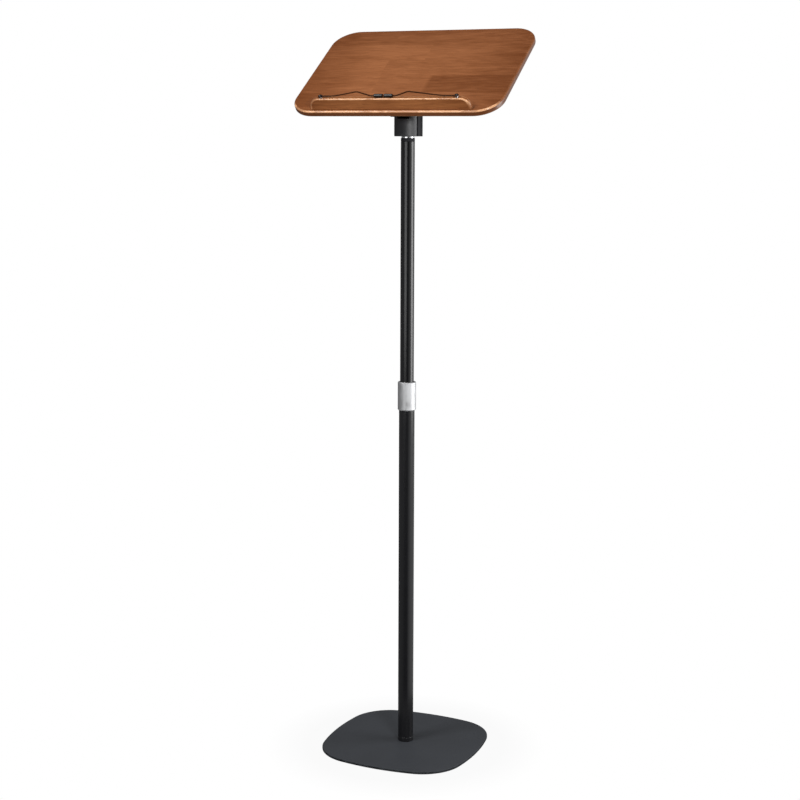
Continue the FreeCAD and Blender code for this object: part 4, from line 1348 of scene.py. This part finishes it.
@dataclass
class TwistLock(SubAssembly):
    """Aluminium collar that grips the upper tube.

    Attributes:
        bore: Radius of the lower bore, over the thread.
        bore_height: Height of that bore.
        taper_low: Radius at the bottom of the inner taper.
        taper_high: Radius at its top.
        lip_bore: Radius of the lip's hole.
        lip_height: Height of the lip.
        chamfer: Width of the bevels at top and bottom.
        edge_round: Radius of the edges beside them.
    """

    bore: float = 0.01515
    bore_height: float = 0.0231
    taper_low: float = 0.01485
    taper_high: float = 0.01359
    lip_bore: float = 0.01259
    lip_height: float = 0.010
    chamfer: float = 0.0011
    edge_round: float = 0.0004

    def build(self) -> None:
        """Make and place the collar."""
        low, high = levels("lock_collar")
        outer = radius_of("lock_collar")
        soft = self.edge_round
        corners = (
            (self.bore, low, soft),
            (outer - self.chamfer, low, soft),
            (outer, low + self.chamfer, soft),
            (outer, high - self.chamfer, soft),
            (outer - self.chamfer, high, soft),
            (self.lip_bore, high, soft),
            (self.lip_bore, high - self.lip_height, 0.0),
            (self.taper_high, high - self.lip_height, 0.0),
            (self.taper_low, low + self.bore_height, 0.0),
            (self.bore, low + self.bore_height, 0.0),
        )
        collar = polished(lathe(rounded_outline(corners, steps=3), sides=160))
        self.add("twist_collar", collar, Body.COLLAR, Slot.BRUSHED_ALUMINIUM, "lock_collar")


@dataclass
class TiltHead(SubAssembly):
    """Swivel pin, hinge head with its cover, and tension knob.

    Attributes:
        shank_radius: Radius of the pin's shank in the pole's cap.
        neck_height: Height of the chromed neck.
        neck_top: Level of the neck's top.
        pin_radius: Radius of the pin in the head.
        groove_depth: Depth of the groove that keeps the head on.
        groove_height: Height of that groove.
        edge_round: Radius of turned edges.
        shell_round: Radius of the moulded head's edges.
        knob_grips: Number of finger grips.
        grip_depth: Depth of each grip.
        knob_round: Radius of the knob's rims.
        face_rim: Width of the raised border on the knob's face.
        face_sink: Depth of the face inside that border.
        insert_radius: Radius of the pocket for the thread.
        insert_depth: Depth of that pocket.
    """

    shank_radius: float = 0.006
    neck_height: float = 0.0026
    neck_top: float = 1.112
    pin_radius: float = 0.008
    groove_depth: float = 0.0015
    groove_height: float = 0.0036
    edge_round: float = 0.0004
    shell_round: float = 0.0006
    knob_grips: int = 10
    grip_depth: float = 0.0012
    knob_round: float = 0.0012
    face_rim: float = 0.0042
    face_sink: float = 0.0006
    insert_radius: float = 0.00605
    insert_depth: float = 0.007

    def build(self) -> None:
        """Make and place the neck, the head and the knob."""
        neck = polished(self.neck())
        self.add("chromed_neck", neck, Body.UPPER_POLE, Slot.CHROME, "swivel_spigot")
        shell = polished(refined("head_housing", self.shell_round))
        self.add("tilt_head_shell", shell, Body.TILT_HEAD, Slot.BLACK_PLASTIC, "head_housing")
        cover = polished(refined("head_side_cover", self.shell_round))
        matt = self.palette.matt_plastic
        self.add("tilt_head_cover", cover, Body.TILT_HEAD, Slot.BLACK_PLASTIC, "head_side_cover", matt)
        self.add("tension_knob", self.knob(), Body.KNOB, Slot.BLACK_PLASTIC, "tilt_knob")

    def neck(self) -> Mesh:
        """Chromed pin with its visible neck.

        Returns:
            The mesh.
        """
        low, high = levels("swivel_spigot")
        outer = radius_of("swivel_spigot")
        groove = (self.neck_top + high) / 2
        root = self.pin_radius - self.groove_depth
        corners = (
            (0.0, low, 0.0),
            (self.shank_radius, low, self.edge_round),
            (self.shank_radius, self.neck_top - self.neck_height, 0.0),
            (outer, self.neck_top - self.neck_height, self.edge_round),
            (outer, self.neck_top, self.edge_round),
            (self.pin_radius, self.neck_top, 0.0),
            (self.pin_radius, groove - self.groove_height / 2, 0.0),
            (root, groove - self.groove_height / 2, 0.0),
            (root, groove + self.groove_height / 2, 0.0),
            (self.pin_radius, groove + self.groove_height / 2, 0.0),
            (self.pin_radius, high, self.edge_round),
            (0.0, high, 0.0),
        )
        return lathe(rounded_outline(corners))

    def knob(self) -> Mesh:
        """Round grip with a sunk face and scalloped rim, on the hinge axis.

        Returns:
            The finished mesh.
        """
        low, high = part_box("tilt_knob")
        radius = (high.z - low.z) / 2
        height = high.x - low.x
        face = radius - self.face_rim
        corners = (
            (self.insert_radius, 0.0, 0.0),
            (radius, 0.0, self.knob_round),
            (radius, height, self.knob_round),
            (face, height, self.edge_round),
            (face - self.face_sink, height - self.face_sink, self.edge_round),
            (0.0, height - self.face_sink, 0.0),
            (0.0, self.insert_depth, 0.0),
            (self.insert_radius, self.insert_depth, 0.0),
        )
        values = {
            "Grips": self.knob_grips,
            "Depth": self.grip_depth,
            "Radius": radius,
            "Rim": self.face_rim,
            "Finish": self.palette.materials[Slot.BLACK_PLASTIC],
        }
        turned = grown(self.trees.scallops, lathe(rounded_outline(corners), sides=240), values)
        hinge = Vector(joint("board_tilt")["pos_m"])
        place = Matrix.Translation((high.x, 0.0, hinge.z)) @ Matrix.Rotation(-QUARTER, 4, "Y")
        return polished(placed(turned, place))


def board_frame() -> Matrix:
    """Carries the board's own axes to the frame's: y runs up the slope, z is square to the board.

    Returns:
        The matrix that carries them.
    """
    hinge = Vector(joint("board_tilt")["pos_m"])
    normal = Vector(joint("left_holder_swing")["axis"])
    tilt = math.atan2(-normal.y, normal.z)
    return Matrix.Translation(hinge) @ Matrix.Rotation(tilt, 4, "X")


@dataclass(frozen=True)
class ScrewMaker:
    """Cross-recessed screws, made upright with the recess facing down.

    Attributes:
        recess_span: Length of the recess's arms, end to end.
        recess_width: Width of an arm.
        recess_depth: Depth of the recess.
        recess_round: Radius of the recess's rims.
    """

    recess_span: float = 0.0042
    recess_width: float = 0.0011
    recess_depth: float = 0.0014
    recess_round: float = 0.0001

    def cross(self, inset: float) -> list[Point]:
        """Outline of the recess, drawn in by a distance.

        Args:
            inset: How far the outline is drawn in.

        Returns:
            The points of the outline.
        """
        arm = self.recess_span / 2 - inset
        half = self.recess_width / 2 - inset
        quarter = [(arm, -half), (arm, half), (half, half)]
        points = []
        for step in range(4):
            turn = Matrix.Rotation(QUARTER * step, 2)
            points += [tuple(turn @ Vector(point)) for point in quarter]
        return points

    def recessed(self, outline: Sequence[Point], face: float) -> Mesh:
        """Turn a screw and sink the recess into its lower face.

        Args:
            outline: Radius and height of each point of the screw.
            face: Level of the face that the recess opens in.

        Returns:
            The screw.
        """
        low, high = face - self.recess_depth, face + self.recess_depth
        cutter = slab(self.cross, low, high, self.recess_round, steps=2)
        return cut_by(lathe(outline, SCREW_SIDES), cutter)


@dataclass
class ReadingBoard(SubAssembly):
    """Wooden board with its ledge, hinge bracket and screws, made in the board's own axes.

    Attributes:
        width: Width of the board.
        depth: Depth of the board.
        front: Place of its front edge.
        underside: Level of its underside.
        thickness: Thickness of the board.
        corner_radius: Radius of its corners.
        edge_round: Radius of its rims.
        ledge_bottom: Length of the ledge where it meets the board.
        ledge_top: Length of its top before the corners are rounded.
        ledge_height: Height of the ledge.
        ledge_front: Place of its front face.
        ledge_thickness: Thickness of the ledge.
        ledge_corner: Radius of its upper corners.
        ledge_round: Radius of its rims along the top.
        ledge_end_round: Radius of its upright rims at the ends.
        bracket_round: Radius of the bracket's edges.
        plate_level: Level of the hinge plate's underside.
        plate_screws: Distance between the plate's screws along x and y.
        screw_radius: Radius of a screw's shank.
        pan_radius: Radius of the plate screws' heads.
        pan_height: Height of those heads.
        pan_round: Radius of their rims.
        pan_tip: Level of their tips.
        sunk_radius: Radius of the ledge screws' heads.
        sunk_tip: Level of their tips.
        tip_radius: Radius of their points.
        ledge_screws: Number of ledge screws.
        ledge_screw_span: Distance between the outermost ones.
        hole_gap: Gap between a sunk head and its hole.
    """

    width: float = 0.390
    depth: float = 0.265
    front: float = -0.073
    underside: float = 0.030
    thickness: float = 0.011
    corner_radius: float = 0.046
    edge_round: float = 0.003
    ledge_bottom: float = 0.299
    ledge_top: float = 0.293
    ledge_height: float = 0.022
    ledge_front: float = -0.0685
    ledge_thickness: float = 0.009
    ledge_corner: float = 0.017
    ledge_round: float = 0.002
    ledge_end_round: float = 0.004
    bracket_round: float = 0.0005
    plate_level: float = 0.027
    plate_screws: Point = (0.062, 0.042)
    screw_radius: float = 0.002
    pan_radius: float = 0.004
    pan_height: float = 0.0024
    pan_round: float = 0.0012
    pan_tip: float = 0.039
    sunk_radius: float = 0.0038
    sunk_tip: float = 0.059
    tip_radius: float = 0.0007
    ledge_screws: int = 3
    ledge_screw_span: float = 0.203
    hole_gap: float = 0.0001

    def build(self) -> None:
        """Make and place the board, the ledge, the bracket and their screws."""
        place = board_frame()
        wood = WoodFinish(place).build("stained_panel", self.palette.effects)
        panel = polished(placed(self.panel(), place))
        self.add("reading_panel", panel, Body.READING_BOARD, Slot.STAINED_WOOD, "board", wood)
        wood = self.ledge_wood(place).build("stained_ledge", self.palette.effects)
        ledge = polished(placed(self.ledge(), place))
        self.add("front_ledge", ledge, Body.READING_BOARD, Slot.STAINED_WOOD, "ledge", wood)
        bracket = polished(refined("hinge_bracket", self.bracket_round))
        self.add("hinge_plate", bracket, Body.READING_BOARD, Slot.BRACKET_PAINT, "hinge_bracket")
        screws = polished(placed(self.plate_screw_set(), place))
        self.add("plate_screws", screws, Body.READING_BOARD, Slot.BLACK_STEEL, "bracket_screws")
        screws = polished(placed(self.ledge_screw_set(ScrewMaker(), 0.0), place))
        self.add("ledge_screw_set", screws, Body.READING_BOARD, Slot.ZINC_STEEL, "ledge_screws")

    def ledge_wood(self, place: Matrix) -> WoodFinish:
        """The ledge's wood: one long stave, a little paler than the board.

        Args:
            place: Carries the board's own axes to the frame's.

        Returns:
            The finish.
        """
        return WoodFinish(
            place,
            stave_width=0.05,
            stave_length=0.9,
            seam=-0.1,
            dark_start=1.0,
            seed=8.0,
            light=(0.46, 0.174, 0.057, 1.0),
            # A weaker painted highlight on the ledge's front edges.
            rim_highlight=1.8,
            # A painted shade line along the ledge's foot.
            foot_shade=0.7,
        )

    def panel_outline(self, inset: float) -> list[Point]:
        """Outline of the board, drawn in by a distance.

        Args:
            inset: How far the outline is drawn in.

        Returns:
            The points of the outline.
        """
        half = self.width / 2 - inset
        low = self.front + inset
        high = self.front + self.depth - inset
        radius = self.corner_radius - inset
        corners = ((-half, low), (half, low), (half, high), (-half, high))
        return rounded_outline([(x, y, radius) for x, y in corners], steps=24)

    def panel(self) -> Mesh:
        """Board with rounded rims and sunk holes for the ledge's screws.

        Returns:
            The mesh.
        """
        top = self.underside + self.thickness
        body = slab(self.panel_outline, self.underside, top, self.edge_round, steps=8)
        return cut_by(body, self.ledge_screw_set(None, self.hole_gap))

    def ledge_outline(self, inset: float) -> list[Point]:
        """Front view of the ledge, drawn in by a distance at its ends and its top.

        Args:
            inset: How far the outline is drawn in.

        Returns:
            The points, with the ledge's height as y.
        """
        foot = self.underside + self.thickness
        top = foot + self.ledge_height
        half_foot, half_top = self.ledge_bottom / 2, self.ledge_top / 2
        slope = (half_foot - half_top) / self.ledge_height
        sideways = inset * math.sqrt(1 + slope**2)
        down = self.top_inset(inset)
        low = half_foot - sideways
        high = half_top - sideways + slope * down
        corners = (
            (-low, foot, 0.0),
            (low, foot, 0.0),
            (high, top - down, self.ledge_corner - down),
            (-high, top - down, self.ledge_corner - down),
        )
        return rounded_outline(corners, steps=16)

    def top_inset(self, inset: float) -> float:
        """How far the ledge's top is drawn in where its ends are drawn in by a distance.

        Args:
            inset: The distance at the ends.

        Returns:
            The distance at the top.
        """
        if inset >= self.ledge_end_round:
            return inset * self.ledge_round / self.ledge_end_round
        depth = self.ledge_end_round - math.sqrt(inset * (2 * self.ledge_end_round - inset))
        left = max(self.ledge_round - depth, 0.0)
        return self.ledge_round - math.sqrt(self.ledge_round**2 - left**2)

    def ledge(self) -> Mesh:
        """Ledge with steep ends, round upper corners and soft rims.

        Returns:
            The mesh.
        """
        back = self.ledge_front + self.ledge_thickness
        body = slab(self.ledge_outline, -back, -self.ledge_front, self.ledge_end_round, steps=9)
        return placed(body, Matrix.Rotation(QUARTER, 4, "X"))

    def plate_screw_set(self) -> Mesh:
        """Four pan-head screws under the hinge plate.

        Returns:
            The screws as one mesh.
        """
        head = self.plate_level - self.pan_height
        corners = (
            (0.0, head, 0.0),
            (self.pan_radius, head, self.pan_round),
            (self.pan_radius, self.plate_level, 0.0),
            (self.screw_radius, self.plate_level, 0.0),
            (self.screw_radius, self.pan_tip, 0.0),
            (0.0, self.pan_tip, 0.0),
        )
        screw = ScrewMaker().recessed(rounded_outline(corners), head)
        return self.in_rows(screw, Slot.BLACK_STEEL, (2, 2), self.plate_screws)

    def ledge_screw_set(self, maker: ScrewMaker | None, gap: float) -> Mesh:
        """Sunk screws that hold the ledge, or the shape of their holes.

        Args:
            maker: Makes the driver recess, or None for a hole.
            gap: How much larger a hole is.

        Returns:
            The screws in their row.
        """
        head = self.underside - gap
        head_radius = self.sunk_radius + gap
        neck = self.underside + self.sunk_radius - self.screw_radius
        shank = self.screw_radius + gap
        corners = (
            (0.0, head, 0.0),
            (head_radius, head, 0.0),
            (shank, neck, 0.0),
            (shank, self.sunk_tip - 2 * self.screw_radius, 0.0),
            (self.tip_radius, self.sunk_tip, 0.0),
            (0.0, self.sunk_tip, 0.0),
        )
        outline = rounded_outline(corners)
        screw = maker.recessed(outline, head) if maker else lathe(outline, SCREW_SIDES)
        middle = self.ledge_front + self.ledge_thickness / 2
        span = (self.ledge_screw_span, 0.0)
        return self.in_rows(screw, Slot.ZINC_STEEL, (self.ledge_screws, 1), span, middle)


@dataclass
class PageHolders(SubAssembly):
    """Two sprung wires with sleeves on their tips, and the screws that they swing on.

    Attributes:
        pivot_x: Distance of the pivots from the board's middle.
        pivot_y: Place of the pivots, on the ledge's middle line.
        ledge_top: Level of the ledge's top.
        washer_radius: Radius of the washers.
        washer_bore: Radius of their holes.
        washer_thickness: Thickness of the washers.
        head_radius: Radius of the dome heads.
        head_height: Height of the dome heads.
        head_seat: Level of the heads' underside.
        dome_steps: Segments up each dome.
        recess: Sinks the driver recess into the domes.
        shank_radius: Radius of the pivot screws.
        shank_depth: How far they reach into the ledge.
        wire_diameter: Diameter of the wire.
        wire_sides: Segments round the wire.
        bend_steps: Segments in each bend.
        wire_level: Level of the wire at its pivot.
        eye_radius: Radius of the eye's middle line.
        eye_start: Angle where the eye's open end lies.
        eye_end: Angle where the eye runs into the arm.
        eye_steps: Segments round the eye.
        arm_start: Where the arm is straight.
        arm_bend: Bend between the eye and the arm.
        flat_length: Where the arm starts to rise.
        rise: Height of the arch.
        peak_from_tip: Distance of the arch's peak from the tip.
        foot_from_tip: Distance of the arch's foot from the tip.
        rise_bend: Bend where the arm starts to rise.
        peak_bend: Bend at the peak.
        foot_bend: Bend at the foot.
        sleeve_radius: Radius of the sleeves.
        sleeve_length: Length of the sleeves.
        sleeve_wall: Thickness of their closed ends.
        sleeve_level: Level of their middle line.
        mouth_round: Radius of the rim round their mouths.
        tip_round: Radius of the rim round their closed ends.
        meeting_x: Where the two tips meet.
        tip_gap: Gap between the tips.
    """

    pivot_x: float = 0.1255
    pivot_y: float = -0.064
    ledge_top: float = 0.063
    washer_radius: float = 0.00325
    washer_bore: float = 0.00205
    washer_thickness: float = 0.002
    head_radius: float = 0.0029
    head_height: float = 0.0017
    head_seat: float = 0.0675
    dome_steps: int = 10
    recess: ScrewMaker = ScrewMaker(recess_span=0.0032, recess_width=0.0008, recess_depth=0.0010)
    shank_radius: float = 0.002
    shank_depth: float = 0.009
    wire_diameter: float = 0.0023
    wire_sides: int = 16
    bend_steps: int = 8
    wire_level: float = 0.06625
    eye_radius: float = 0.00321
    eye_start: float = math.radians(310)
    eye_end: float = math.radians(30)
    eye_steps: int = 24
    arm_start: float = 0.0037
    arm_bend: float = 0.0014
    flat_length: float = 0.026
    rise: float = 0.0085
    peak_from_tip: float = 0.0465
    foot_from_tip: float = 0.0225
    rise_bend: float = 0.080
    peak_bend: float = 0.012
    foot_bend: float = 0.010
    sleeve_radius: float = 0.0032
    sleeve_length: float = 0.016
    sleeve_wall: float = 0.001
    sleeve_level: float = 0.0665
    mouth_round: float = 0.0007
    tip_round: float = 0.0014
    meeting_x: float = -0.007
    tip_gap: float = 0.002

    def build(self) -> None:
        """Make and place the pivots, the wires and the sleeves."""
        place = board_frame()
        washers = polished(placed(self.washers(), place))
        self.add("pivot_washer_pair", washers, Body.READING_BOARD, Slot.ZINC_STEEL, "pivot_washers")
        screws = polished(placed(self.screws(), place))
        self.add("pivot_screw_pair", screws, Body.READING_BOARD, Slot.BLACK_STEEL, "pivot_screws")
        for side, body, sign in (("left", Body.LEFT_HOLDER, -1), ("right", Body.RIGHT_HOLDER, 1)):
            reach = self.pivot_x - sign * self.meeting_x - self.tip_gap / 2
            turn = Matrix.Rotation(0.0 if sign < 0 else math.pi, 4, "Z")
            pivot = place @ Matrix.Translation((sign * self.pivot_x, self.pivot_y, 0.0)) @ turn
            wire = polished(placed(self.wire(reach), pivot), math.pi)
            self.add(f"{side}_spring_wire", wire, body, Slot.SPRING_WIRE, f"{side}_page_holder_wire")
            sleeve = polished(placed(self.sleeve(reach), pivot))
            self.add(f"{side}_tip_sleeve", sleeve, body, Slot.SLEEVE_VINYL, f"{side}_page_holder_sleeve")

    def at_pivots(self, mesh: Mesh, slot: Slot) -> Mesh:
        """A like piece at each pivot."""
        return self.in_rows(mesh, slot, (2, 1), (2 * self.pivot_x, 0.0), self.pivot_y)

    def washers(self) -> Mesh:
        """Washers between the wires' eyes and the ledge.

        Returns:
            The washers as one mesh.
        """
        low, high = self.ledge_top, self.ledge_top + self.washer_thickness
        soft = self.washer_thickness / 4
        corners = (
            (self.washer_bore, low, 0.0),
            (self.washer_radius, low, soft),
            (self.washer_radius, high, soft),
            (self.washer_bore, high, soft),
        )
        return self.at_pivots(lathe(rounded_outline(corners), sides=40), Slot.ZINC_STEEL)

    def screws(self) -> Mesh:
        """Dome-head screws with their recess on top.

        Returns:
            The screws as one mesh.
        """
        ball = (self.head_radius**2 + self.head_height**2) / (2 * self.head_height)
        top = self.head_seat + self.head_height
        sweep = math.asin(self.head_radius / ball)
        dome = []
        for step in range(self.dome_steps + 1):
            angle = sweep * (1 - step / self.dome_steps)
            dome.append((ball * math.sin(angle), top - ball * (1 - math.cos(angle))))
        tip = self.ledge_top - self.shank_depth
        outline = [(0.0, tip), (self.shank_radius, tip), (self.shank_radius, self.head_seat)] + dome
        screw = self.recess.recessed(outline, top)
        return self.at_pivots(screw, Slot.BLACK_STEEL)

    def wire(self, reach: float) -> Mesh:
        """Wire from its eye to its tip.

        Args:
            reach: Distance from the pivot to the sleeve's end.

        Returns:
            The bent wire, running along +x from its pivot.
        """
        places, bends = [], []
        for step in range(self.eye_steps + 1):
            angle = self.eye_start + (self.eye_end - self.eye_start) * step / self.eye_steps
            across = self.eye_radius * math.sin(angle)
            places.append((self.eye_radius * math.cos(angle), across, self.wire_level))
            bends.append(0.0)
        corners = (
            (self.arm_start, self.wire_level, self.arm_bend),
            (self.flat_length, self.wire_level, self.rise_bend),
            (reach - self.peak_from_tip, self.wire_level + self.rise, self.peak_bend),
            (reach - self.foot_from_tip, self.sleeve_level, self.foot_bend),
            (reach - self.sleeve_wall, self.sleeve_level, 0.0),
        )
        for x, level, bend in corners:
            places.append((x, 0.0, level))
            bends.append(bend)
        route = bpy.data.meshes.new("route")
        route.from_pydata(places, [(step, step + 1) for step in range(len(places) - 1)], [])
        route.attributes.new("bend", "FLOAT", "POINT").data.foreach_set("value", bends)
        values = {
            "Diameter": self.wire_diameter,
            "Sides": self.wire_sides,
            "Bend Steps": self.bend_steps,
            "Finish": self.palette.materials[Slot.SPRING_WIRE],
        }
        return grown(self.trees.wire, route, values)

    def sleeve(self, reach: float) -> Mesh:
        """Soft sleeve on a wire's tip, closed at its end.

        Args:
            reach: Distance from the pivot to the sleeve's end.

        Returns:
            The mesh.
        """
        bore = self.wire_diameter / 2
        deep = self.sleeve_length - self.sleeve_wall
        corners = (
            (bore, 0.0, 0.0),
            (self.sleeve_radius, 0.0, self.mouth_round),
            (self.sleeve_radius, self.sleeve_length, self.tip_round),
            (0.0, self.sleeve_length, 0.0),
            (0.0, deep, 0.0),
            (bore, deep, 0.0),
        )
        along = Matrix.Translation((reach - self.sleeve_length, 0.0, self.sleeve_level))
        turned = lathe(rounded_outline(corners, steps=6), sides=32)
        return placed(turned, along @ Matrix.Rotation(QUARTER, 4, "Y"))


def bearing(azimuth: float, elevation: float = 0.0) -> Vector:
    """Direction at an azimuth, from the reader's side towards +X, and an elevation."""
    level = math.cos(elevation)
    return Vector((math.sin(azimuth) * level, -math.cos(azimuth) * level, math.sin(elevation)))


@dataclass(frozen=True)
class SoftBox:
    """A studio light.

    Attributes:
        name: The light's name.
        azimuth: Direction round the stand, from the reader's side towards +X, in degrees.
        distance: Distance from the pole.
        height: Height of its middle.
        aim: Height that it points at.
        size: Width and height of the light.
        power: Power in watts.
        kept_off: Pieces that its flags keep it off.
    """

    name: str
    azimuth: float
    distance: float
    height: float
    aim: float
    size: Point
    power: float
    kept_off: tuple[str, ...] = ()

    def build(self) -> None:
        """Make the light and point it at the stand."""
        data = bpy.data.lights.new(self.name, "AREA")
        data.shape = "RECTANGLE"
        data.size, data.size_y = self.size
        data.energy = self.power
        lamp = put(self.name, data)
        lamp.location = bearing(math.radians(self.azimuth)) * self.distance
        lamp.location.z = self.height
        towards = Vector((0.0, 0.0, self.aim)) - lamp.location
        lamp.rotation_euler = towards.to_track_quat("-Z", "Y").to_euler()
        if self.kept_off:
            self.flag(lamp)

    def flag(self, lamp: Object) -> None:
        """Keep the light off some pieces.

        Args:
            lamp: The light.
        """
        shielded = bpy.data.collections.new(f"{self.name}_flags")
        for piece in self.kept_off:
            shielded.objects.link(bpy.data.objects[piece])
        for link in shielded.collection_objects:
            link.light_linking.link_state = "EXCLUDE"
        lamp.light_linking.receiver_collection = shielded


@dataclass(frozen=True)
class Wall:
    """A bright part of the room, as shiny surfaces show it.

    Attributes:
        azimuth: Direction round the stand, from the reader's side towards +X, in degrees.
        elevation: Direction above the horizon, in degrees.
        reach: How near a direction must be for the wall to fade out and to be full, as cosines.
        level: Strength of the wall.
    """

    azimuth: float
    elevation: float
    reach: Point
    level: float

    def glow(self, wiring: Wiring, direction: NodeSocket) -> NodeSocket:
        """Strength of the wall in a direction.

        Args:
            wiring: The world's wiring.
            direction: The direction.

        Returns:
            The strength.
        """
        middle = bearing(math.radians(self.azimuth), math.radians(self.elevation))
        nearness = wiring.measure("DOT_PRODUCT", direction, middle)
        return wiring.ramp(nearness, Ramp(*self.reach, 0.0, self.level))


@dataclass(frozen=True)
class Studio:
    """Pale floor, soft light and the camera of the photograph.

    Attributes:
        azimuth: Direction of the camera round the pole, from the reader's side towards +X.
        distance: Level distance of the camera from the pole.
        height: Height of the camera.
        turn: How far the camera looks to the left of the pole.
        pitch: How far it looks down.
        roll: How far its right side is raised.
        focal_length: Focal length in millimetres.
        sensor_width: Sensor width in millimetres.
        floor_radius: Radius of the floor, which fades into the white all round.
        floor_fade: Share of that radius where the fade starts.
        floor_sides: Sides of the floor's outline.
        floor_level: Level of the floor.
        floor_glow: Share of the floor's white that shadows don't touch, under the stand.
        floor_mirror: Share of the floor's white that shiny surfaces show.
        floor_matt: Colour of the floor that catches the shadows.
        ambient: Strength of the even light all round.
        room: Strength of the room around the white backdrop, as shiny surfaces show it.
        walls: The bright parts of that room.
        lights: The soft boxes.
    """

    azimuth: float = math.radians(23.14)
    distance: float = 2.816
    height: float = 1.121
    turn: float = math.radians(0.25)
    pitch: float = math.radians(9.577)
    roll: float = math.radians(0.187)
    focal_length: float = 71.67
    sensor_width: float = 36.0
    floor_radius: float = 0.26
    floor_fade: float = 0.7
    floor_sides: int = 96
    floor_level: float = -0.0003
    floor_glow: float = 0.95
    floor_mirror: float = 0.08
    floor_matt: Colour = (0.12, 0.12, 0.12, 1.0)
    ambient: float = 0.25
    room: float = 0.05
    walls: tuple[Wall, ...] = (
        Wall(203.5, 22.0, (0.85, 0.97), 0.3),
        Wall(103.0, 0.0, (0.4, 0.95), 0.9),
        Wall(150.0, 0.0, (0.6, 0.95), 0.6),
        Wall(-60.0, 0.0, (0.3, 0.9), 0.2),
    )
    lights: tuple[SoftBox, ...] = (
        SoftBox("right_box", 108.0, 2.0, 1.0, 1.0, (1.3, 1.4), 29.0),
        SoftBox("left_box", -7.0, 2.4, 1.0, 1.0, (1.6, 1.2), 13.0, ("tilt_head_shell",)),
        SoftBox(
            "front_box", 40.0, 2.4, 1.4, 1.2, (0.6, 0.35), 32.0, ("upper_pole_tube", "chromed_neck")
        ),
        SoftBox("key_box", -33.0, 1.7, 2.4, 1.15, (0.7, 1.0), 30.0),
        SoftBox("top_box", 20.0, 0.4, 3.2, 1.2, (1.6, 1.2), 6.0),
    )

    def build(self) -> None:
        """Make the floor, the world, the lights and the camera."""
        bpy.context.scene.view_settings.view_transform = "Standard"
        self.build_floor()
        self.build_world()
        for light in self.lights:
            light.build()
        self.build_camera()

    def build_floor(self) -> None:
        """Lay a pale floor that is white to the eye and keeps the stand's shadow."""
        points = []
        for side in range(self.floor_sides):
            spoke = Matrix.Rotation(TURN * side / self.floor_sides, 2) @ Vector((self.floor_radius, 0.0))
            points.append((spoke.x, spoke.y, self.floor_level))
        floor = put("studio_floor", new_mesh(points, [range(self.floor_sides)]))
        material, wiring = new_material("pale_floor")
        camera, shiny = wiring.rays()
        seen = wiring.math("MAXIMUM", camera, wiring.math("MULTIPLY", shiny, self.floor_mirror))
        fade = Ramp(self.floor_radius * self.floor_fade, self.floor_radius, self.floor_glow, 1.0)
        share = wiring.math("MULTIPLY", seen, wiring.ramp(wiring.measure("LENGTH", wiring.place()), fade))
        matt = wiring.value("ShaderNodeBsdfDiffuse", {"Color": self.floor_matt})
        glow = wiring.value("ShaderNodeEmission", {"Color": WHITE, "Strength": 1.0})
        upper = wiring.value("ShaderNodeMixShader", {0: share, 1: matt, 2: glow})
        backfacing = wiring.node("ShaderNodeNewGeometry").outputs["Backfacing"]
        from_below = wiring.math("MULTIPLY", backfacing, camera)
        clear = wiring.value("ShaderNodeBsdfTransparent")
        surface = wiring.value("ShaderNodeMixShader", {0: from_below, 1: upper, 2: clear})
        wiring.node("ShaderNodeOutputMaterial", {"Surface": surface})
        floor.data.materials.append(material)

    def build_world(self) -> None:
        """Surround the stand with even light, a white backdrop behind it and a dim room around that."""
        world = bpy.data.worlds.new("studio_world")
        world.use_nodes = True
        wiring = Wiring(world.node_tree)
        camera, shiny = wiring.rays()
        direction = wiring.node("ShaderNodeTexCoord").outputs["Generated"]
        around = self.room
        for wall in self.walls:
            around = wiring.math("MAXIMUM", around, wall.glow(wiring, direction))
        plain = wiring.math("MULTIPLY", wiring.math("SUBTRACT", 1.0, shiny), self.ambient)
        level = wiring.math("MAXIMUM", wiring.math("MULTIPLY_ADD", shiny, around, plain), camera)
        sky = wiring.value("ShaderNodeBackground", {"Color": WHITE, "Strength": level})
        wiring.node("ShaderNodeOutputWorld", {"Surface": sky})
        bpy.context.scene.world = world

    def build_camera(self) -> None:
        """Stand the camera where the photograph was taken from."""
        data = bpy.data.cameras.new("studio_camera")
        data.sensor_width = self.sensor_width
        data.lens = self.focal_length
        camera = put("studio_camera", data)
        level = -bearing(self.azimuth + self.turn)
        forward = level * math.cos(self.pitch) - Vector((0.0, 0.0, math.sin(self.pitch)))
        right = level.cross(Vector((0.0, 0.0, 1.0)))
        axes = Matrix((right, right.cross(forward), -forward)).transposed().to_4x4()
        spot = bearing(self.azimuth) * self.distance
        spot.z = self.height
        camera.matrix_world = Matrix.Translation(spot) @ axes @ Matrix.Rotation(self.roll, 4, "Z")
        bpy.context.scene.camera = camera


def main() -> None:
    """Build the stand piece by piece in its studio."""
    logging.basicConfig(level=logging.INFO, format="%(name)s %(message)s")
    palette = Palette()
    palette.dress_frame()
    trees = PatternTrees()
    for assembly in (FloorBase, Pole, TwistLock, TiltHead, ReadingBoard, PageHolders):
        assembly(palette, trees).build()
    Studio().build()


if __name__ == "__main__":
    main()
